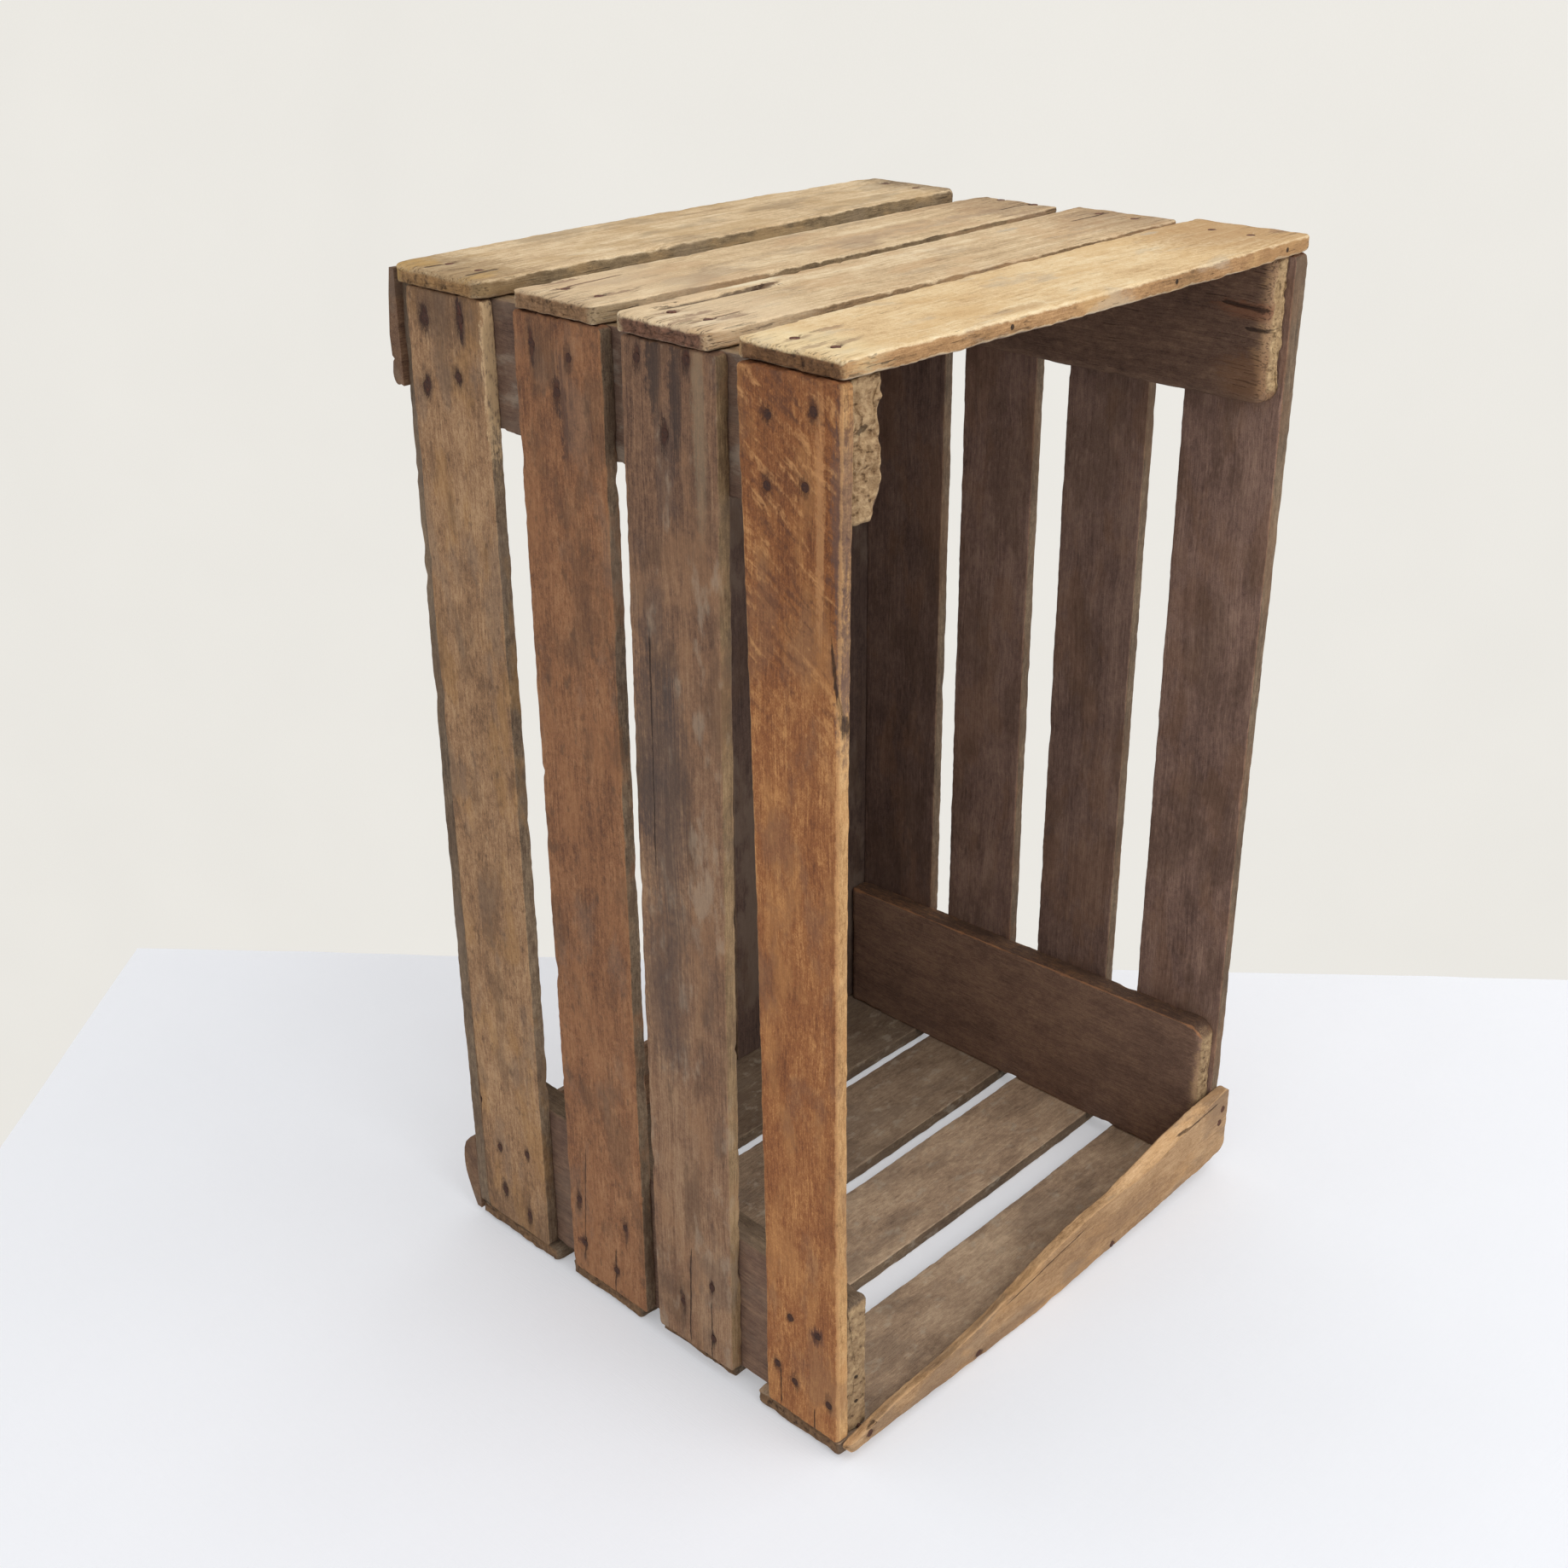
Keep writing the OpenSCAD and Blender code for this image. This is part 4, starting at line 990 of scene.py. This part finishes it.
class CRATE_OT_strips(bpy.types.Operator):
    """Adds the broken lid slat and gives the battens their wood"""

    bl_idname = "crate.strips"
    bl_label = "Battens and lid slat"

    def execute(self, context):
        for node, seed in (("upper_batten", 701), ("lower_batten", 702)):
            material = wood(node, seed, toned(BROWN, 0.75), end=CUT_END,
                            tints=((OLD_GREY, 0.35, 0.45), (DIRT, 0.3, 0.4)))
            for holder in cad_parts[node].material_slots:
                holder.material = material
        dress("broken_lid_slat", 703, Shape(
            by_face=True, chewed=(0.2, 0.8), rounds={(-1, -1): 1.0}, ends=(2.5, 1), step=1.5, fine=2.5,
            nick=0.5, wander=0.2, dimple=(3, 3)), dict(
            tones=LID, narrow=FRESH, edge=(0.6, FRESH[1]), end=(FRESH[0], FRESH[1]), streaks=0.7,
            nails=(2.2, 2.6, 0.7), tints=((OLD_GREY, 0.3, 0.4), (tone(196, 150, 98), 0.25, 0.4)),
            stains=((6, -60, 4, 70, 0.35, tone(136, 104, 76)), (52, 172, 20, 24, 0.4, tone(140, 110, 82)),
                    (24, 60, 8, 60, 0.35, tone(140, 110, 84))),
            splits=((15.5, -174, -160, 0.7, 0.0, CRACK), (50, 118, 176, 0.7, 0.08, CRACK),
                    (24, -60, 40, 0.5, 0.14, CRACK))))
        return {"FINISHED"}


class CRATE_OT_nails(bpy.types.Operator):
    """Gives the nails their rust"""

    bl_idname = "crate.nails"
    bl_label = "Nails"

    def execute(self, context):
        for group, (_, _, light) in NAIL_GROUPS.items():
            material = self.rust(group, toned((tone(44, 34, 32), tone(78, 50, 38), tone(112, 70, 46)), light))
            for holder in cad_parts[group].material_slots:
                holder.material = material
        return {"FINISHED"}

    @staticmethod
    def rust(group, tones):
        """Crusty iron in a dark, a middle and a light tone."""
        material = bpy.data.materials.new(f"rust_{group}")
        net = Net(material)
        crust = net.noise(net.vector(*net.place()), scale=0.9, detail=5.0, roughness=0.7)
        colour = net.node("ShaderNodeValToRGB", {"stops": list(zip((0.3, 0.55, 0.8), tones))},
                          {"Fac": crust})
        net.finish(colour, 0.75 + 0.2 * crust, net.bump(crust * 0.3), metallic=0.15, specular=0.3)
        return material


def sheet(name, corner, side_a, side_b, steps, heights):
    """A stage cloth: a grid from a corner along two sides, lifted by heights(a, b) off its plane,
    where a and b are lengths along the sides."""
    corner, side_a, side_b = (np.array(value, dtype=float) for value in (corner, side_a, side_b))
    length_a, length_b = np.linalg.norm(side_a), np.linalg.norm(side_b)
    a, b = np.meshgrid(np.linspace(0, 1, steps[0]), np.linspace(0, 1, steps[1]), indexing="ij")
    normal = np.cross(side_a, side_b)
    normal /= np.linalg.norm(normal)
    points = (corner + a[..., None] * side_a + b[..., None] * side_b
              + heights(a * length_a, b * length_b)[..., None] * normal)
    rows, columns = steps
    start = np.arange(rows - 1)[:, None] * columns + np.arange(columns - 1)
    quads = np.stack([start, start + columns, start + columns + 1, start + 1], axis=-1).reshape(-1, 4)
    mesh = bpy.data.meshes.new(name)
    mesh.from_pydata(points.reshape(-1, 3).tolist(), [], quads.tolist())
    mesh.polygons.foreach_set("use_smooth", np.ones(len(quads), dtype=bool))
    made = bpy.data.objects.new(name, mesh)
    bpy.context.collection.objects.link(made)
    return made


def cloth(name, colour, weave, relief, glow):
    """Pale woven cloth: two crossed sets of threads and soft clouds. The camera sees part of it,
    glow, as evenly bright as the colour is written; the rest takes the light and the shadows."""
    material = bpy.data.materials.new(name)
    net = Net(material)
    x, y, z = net.place()
    threads = (net.noise(net.vector(x * 0.05, y * weave, z * weave), detail=2.0)
               + net.noise(net.vector(x * weave, y * 0.05, z * 0.05), detail=2.0))
    cloud = net.noise(net.vector(x, y, z), scale=0.006, detail=4.0)
    shade = net.mix(cloud * 0.5, colour, tuple(c * 0.93 for c in colour[:3]) + (1.0,))
    lit = net.node("ShaderNodeBsdfPrincipled", (), {
        "Base Color": shade, "Roughness": 0.9, "Normal": net.bump(threads * relief),
        "Specular IOR Level": 0.2})
    even = net.node("ShaderNodeEmission", (), {"Color": shade, "Strength": 1.0})
    both = net.node("ShaderNodeMixShader", (), {0: net.seen() * glow, 1: lit, 2: even})
    net.node("ShaderNodeOutputMaterial", (), {"Surface": both})
    return material


class CRATE_OT_stage(bpy.types.Operator):
    """Adds the table cloth, the curtain, the lamps and the camera"""

    bl_idname = "crate.stage"
    bl_label = "Stage"

    def execute(self, context):
        look = context.scene.crate_stage
        self.camera(context, look)
        self.cloths(look)
        self.light(context, look)
        context.scene.view_settings.view_transform = "Standard"
        return {"FINISHED"}

    @staticmethod
    def camera(context, look):
        """The camera looks along a given azimuth and elevation, then rolls about its own axis."""
        azimuth, elevation, roll = look.camera_turn
        turn = (Matrix.Rotation(azimuth, 4, "Z") @ Matrix.Rotation(math.pi / 2 - elevation, 4, "X")
                @ Matrix.Rotation(-roll, 4, "Z"))
        data = bpy.data.cameras.new("camera")
        data.lens, data.sensor_width, data.sensor_fit = look.lens, 36, "HORIZONTAL"
        made = bpy.data.objects.new("camera", data)
        made.matrix_world = Matrix.Translation(look.camera_place) @ turn
        context.collection.objects.link(made)
        context.scene.camera = made

    @staticmethod
    def cloths(look):
        """The table ends just behind the crate, square to the view, and a curtain hangs behind."""
        away = np.array([0.760, 0.651, 0])
        right = np.array([0.651, -0.760, 0])
        edge = away * 0.275

        def wrinkles(a, b):
            at = np.stack([a, b, 0 * a], axis=-1)
            return -0.0015 * lumps(at, 0.12, 8) - 0.0006 * lumps(at, 0.035, 9)

        floor = sheet("table_cloth", edge - 0.575 * right, -2.2 * away, 3.0 * right, (220, 300),
                      wrinkles)
        floor.data.materials.append(cloth("table_cloth", tuple(look.cloth), 1.1, 0.1, 0.3))

        def folds(a, b):
            at = np.stack([a + 0.12 * np.sin(b * 1.3), b * 0.15, 0 * a], axis=-1)
            return 0.07 * lumps(at, 0.33, 5) + 0.03 * lumps(at, 0.13, 6)

        curtain = sheet("curtain", away * 1.75 - 2.4 * right + np.array([0, 0, -1.4]),
                        4.8 * right, (0, 0, 4.0), (400, 60), folds)
        curtain.data.materials.append(cloth("curtain", tuple(look.linen), 0.8, 0.15, 0.75))

    @staticmethod
    def light(context, look):
        """An even sky, which the camera sees as pale linen, and one large lamp overhead."""
        world = bpy.data.worlds.new("sky")
        context.scene.world = world
        net = Net(world)
        back = net.node("ShaderNodeBackground", (), {
            "Color": tone(244, 246, 250), "Strength": look.sky + net.seen() * (1 - look.sky)})
        net.node("ShaderNodeOutputWorld", (), {"Surface": back})
        data = bpy.data.lights.new("overhead", "AREA")
        data.shape, data.size, data.size_y, data.energy = "RECTANGLE", 2.2, 2.2, look.key
        made = bpy.data.objects.new("overhead", data)
        place = Vector((0.1, -1.7, 2.0))
        aim = (place - Vector((0, 0, 0.3))).to_track_quat("Z", "Y").to_matrix().to_4x4()
        made.matrix_world = Matrix.Translation(place) @ aim
        context.collection.objects.link(made)


class CRATE_PT_panel(bpy.types.Panel):
    """Lists the crate's sizes and the steps that dress it"""

    bl_idname = "CRATE_PT_panel"
    bl_label = "Crate"
    bl_space_type = "VIEW_3D"
    bl_region_type = "UI"
    bl_category = "Crate"

    def draw(self, context):
        for group in (context.scene.crate_wear, context.scene.crate_stage):
            for name in group.__annotations__:
                self.layout.prop(group, name)
        for step in STEPS:
            self.layout.operator(step.bl_idname)


STEPS = (CRATE_OT_stage, CRATE_OT_left_wall, CRATE_OT_right_wall, CRATE_OT_upper_end,
         CRATE_OT_lower_end, CRATE_OT_cleats, CRATE_OT_base, CRATE_OT_strips, CRATE_OT_nails)
CLASSES = (CrateWear, CrateStage, *STEPS, CRATE_PT_panel)


def register():
    for cls in CLASSES:
        bpy.utils.register_class(cls)
    bpy.types.Scene.crate_wear = PointerProperty(type=CrateWear)
    bpy.types.Scene.crate_stage = PointerProperty(type=CrateStage)


def unregister():
    del bpy.types.Scene.crate_wear
    del bpy.types.Scene.crate_stage
    for cls in reversed(CLASSES):
        bpy.utils.unregister_class(cls)


def main():
    register()
    for step in STEPS:
        getattr(bpy.ops.crate, step.bl_idname.split(".")[1])()


if __name__ == "__main__":
    main()
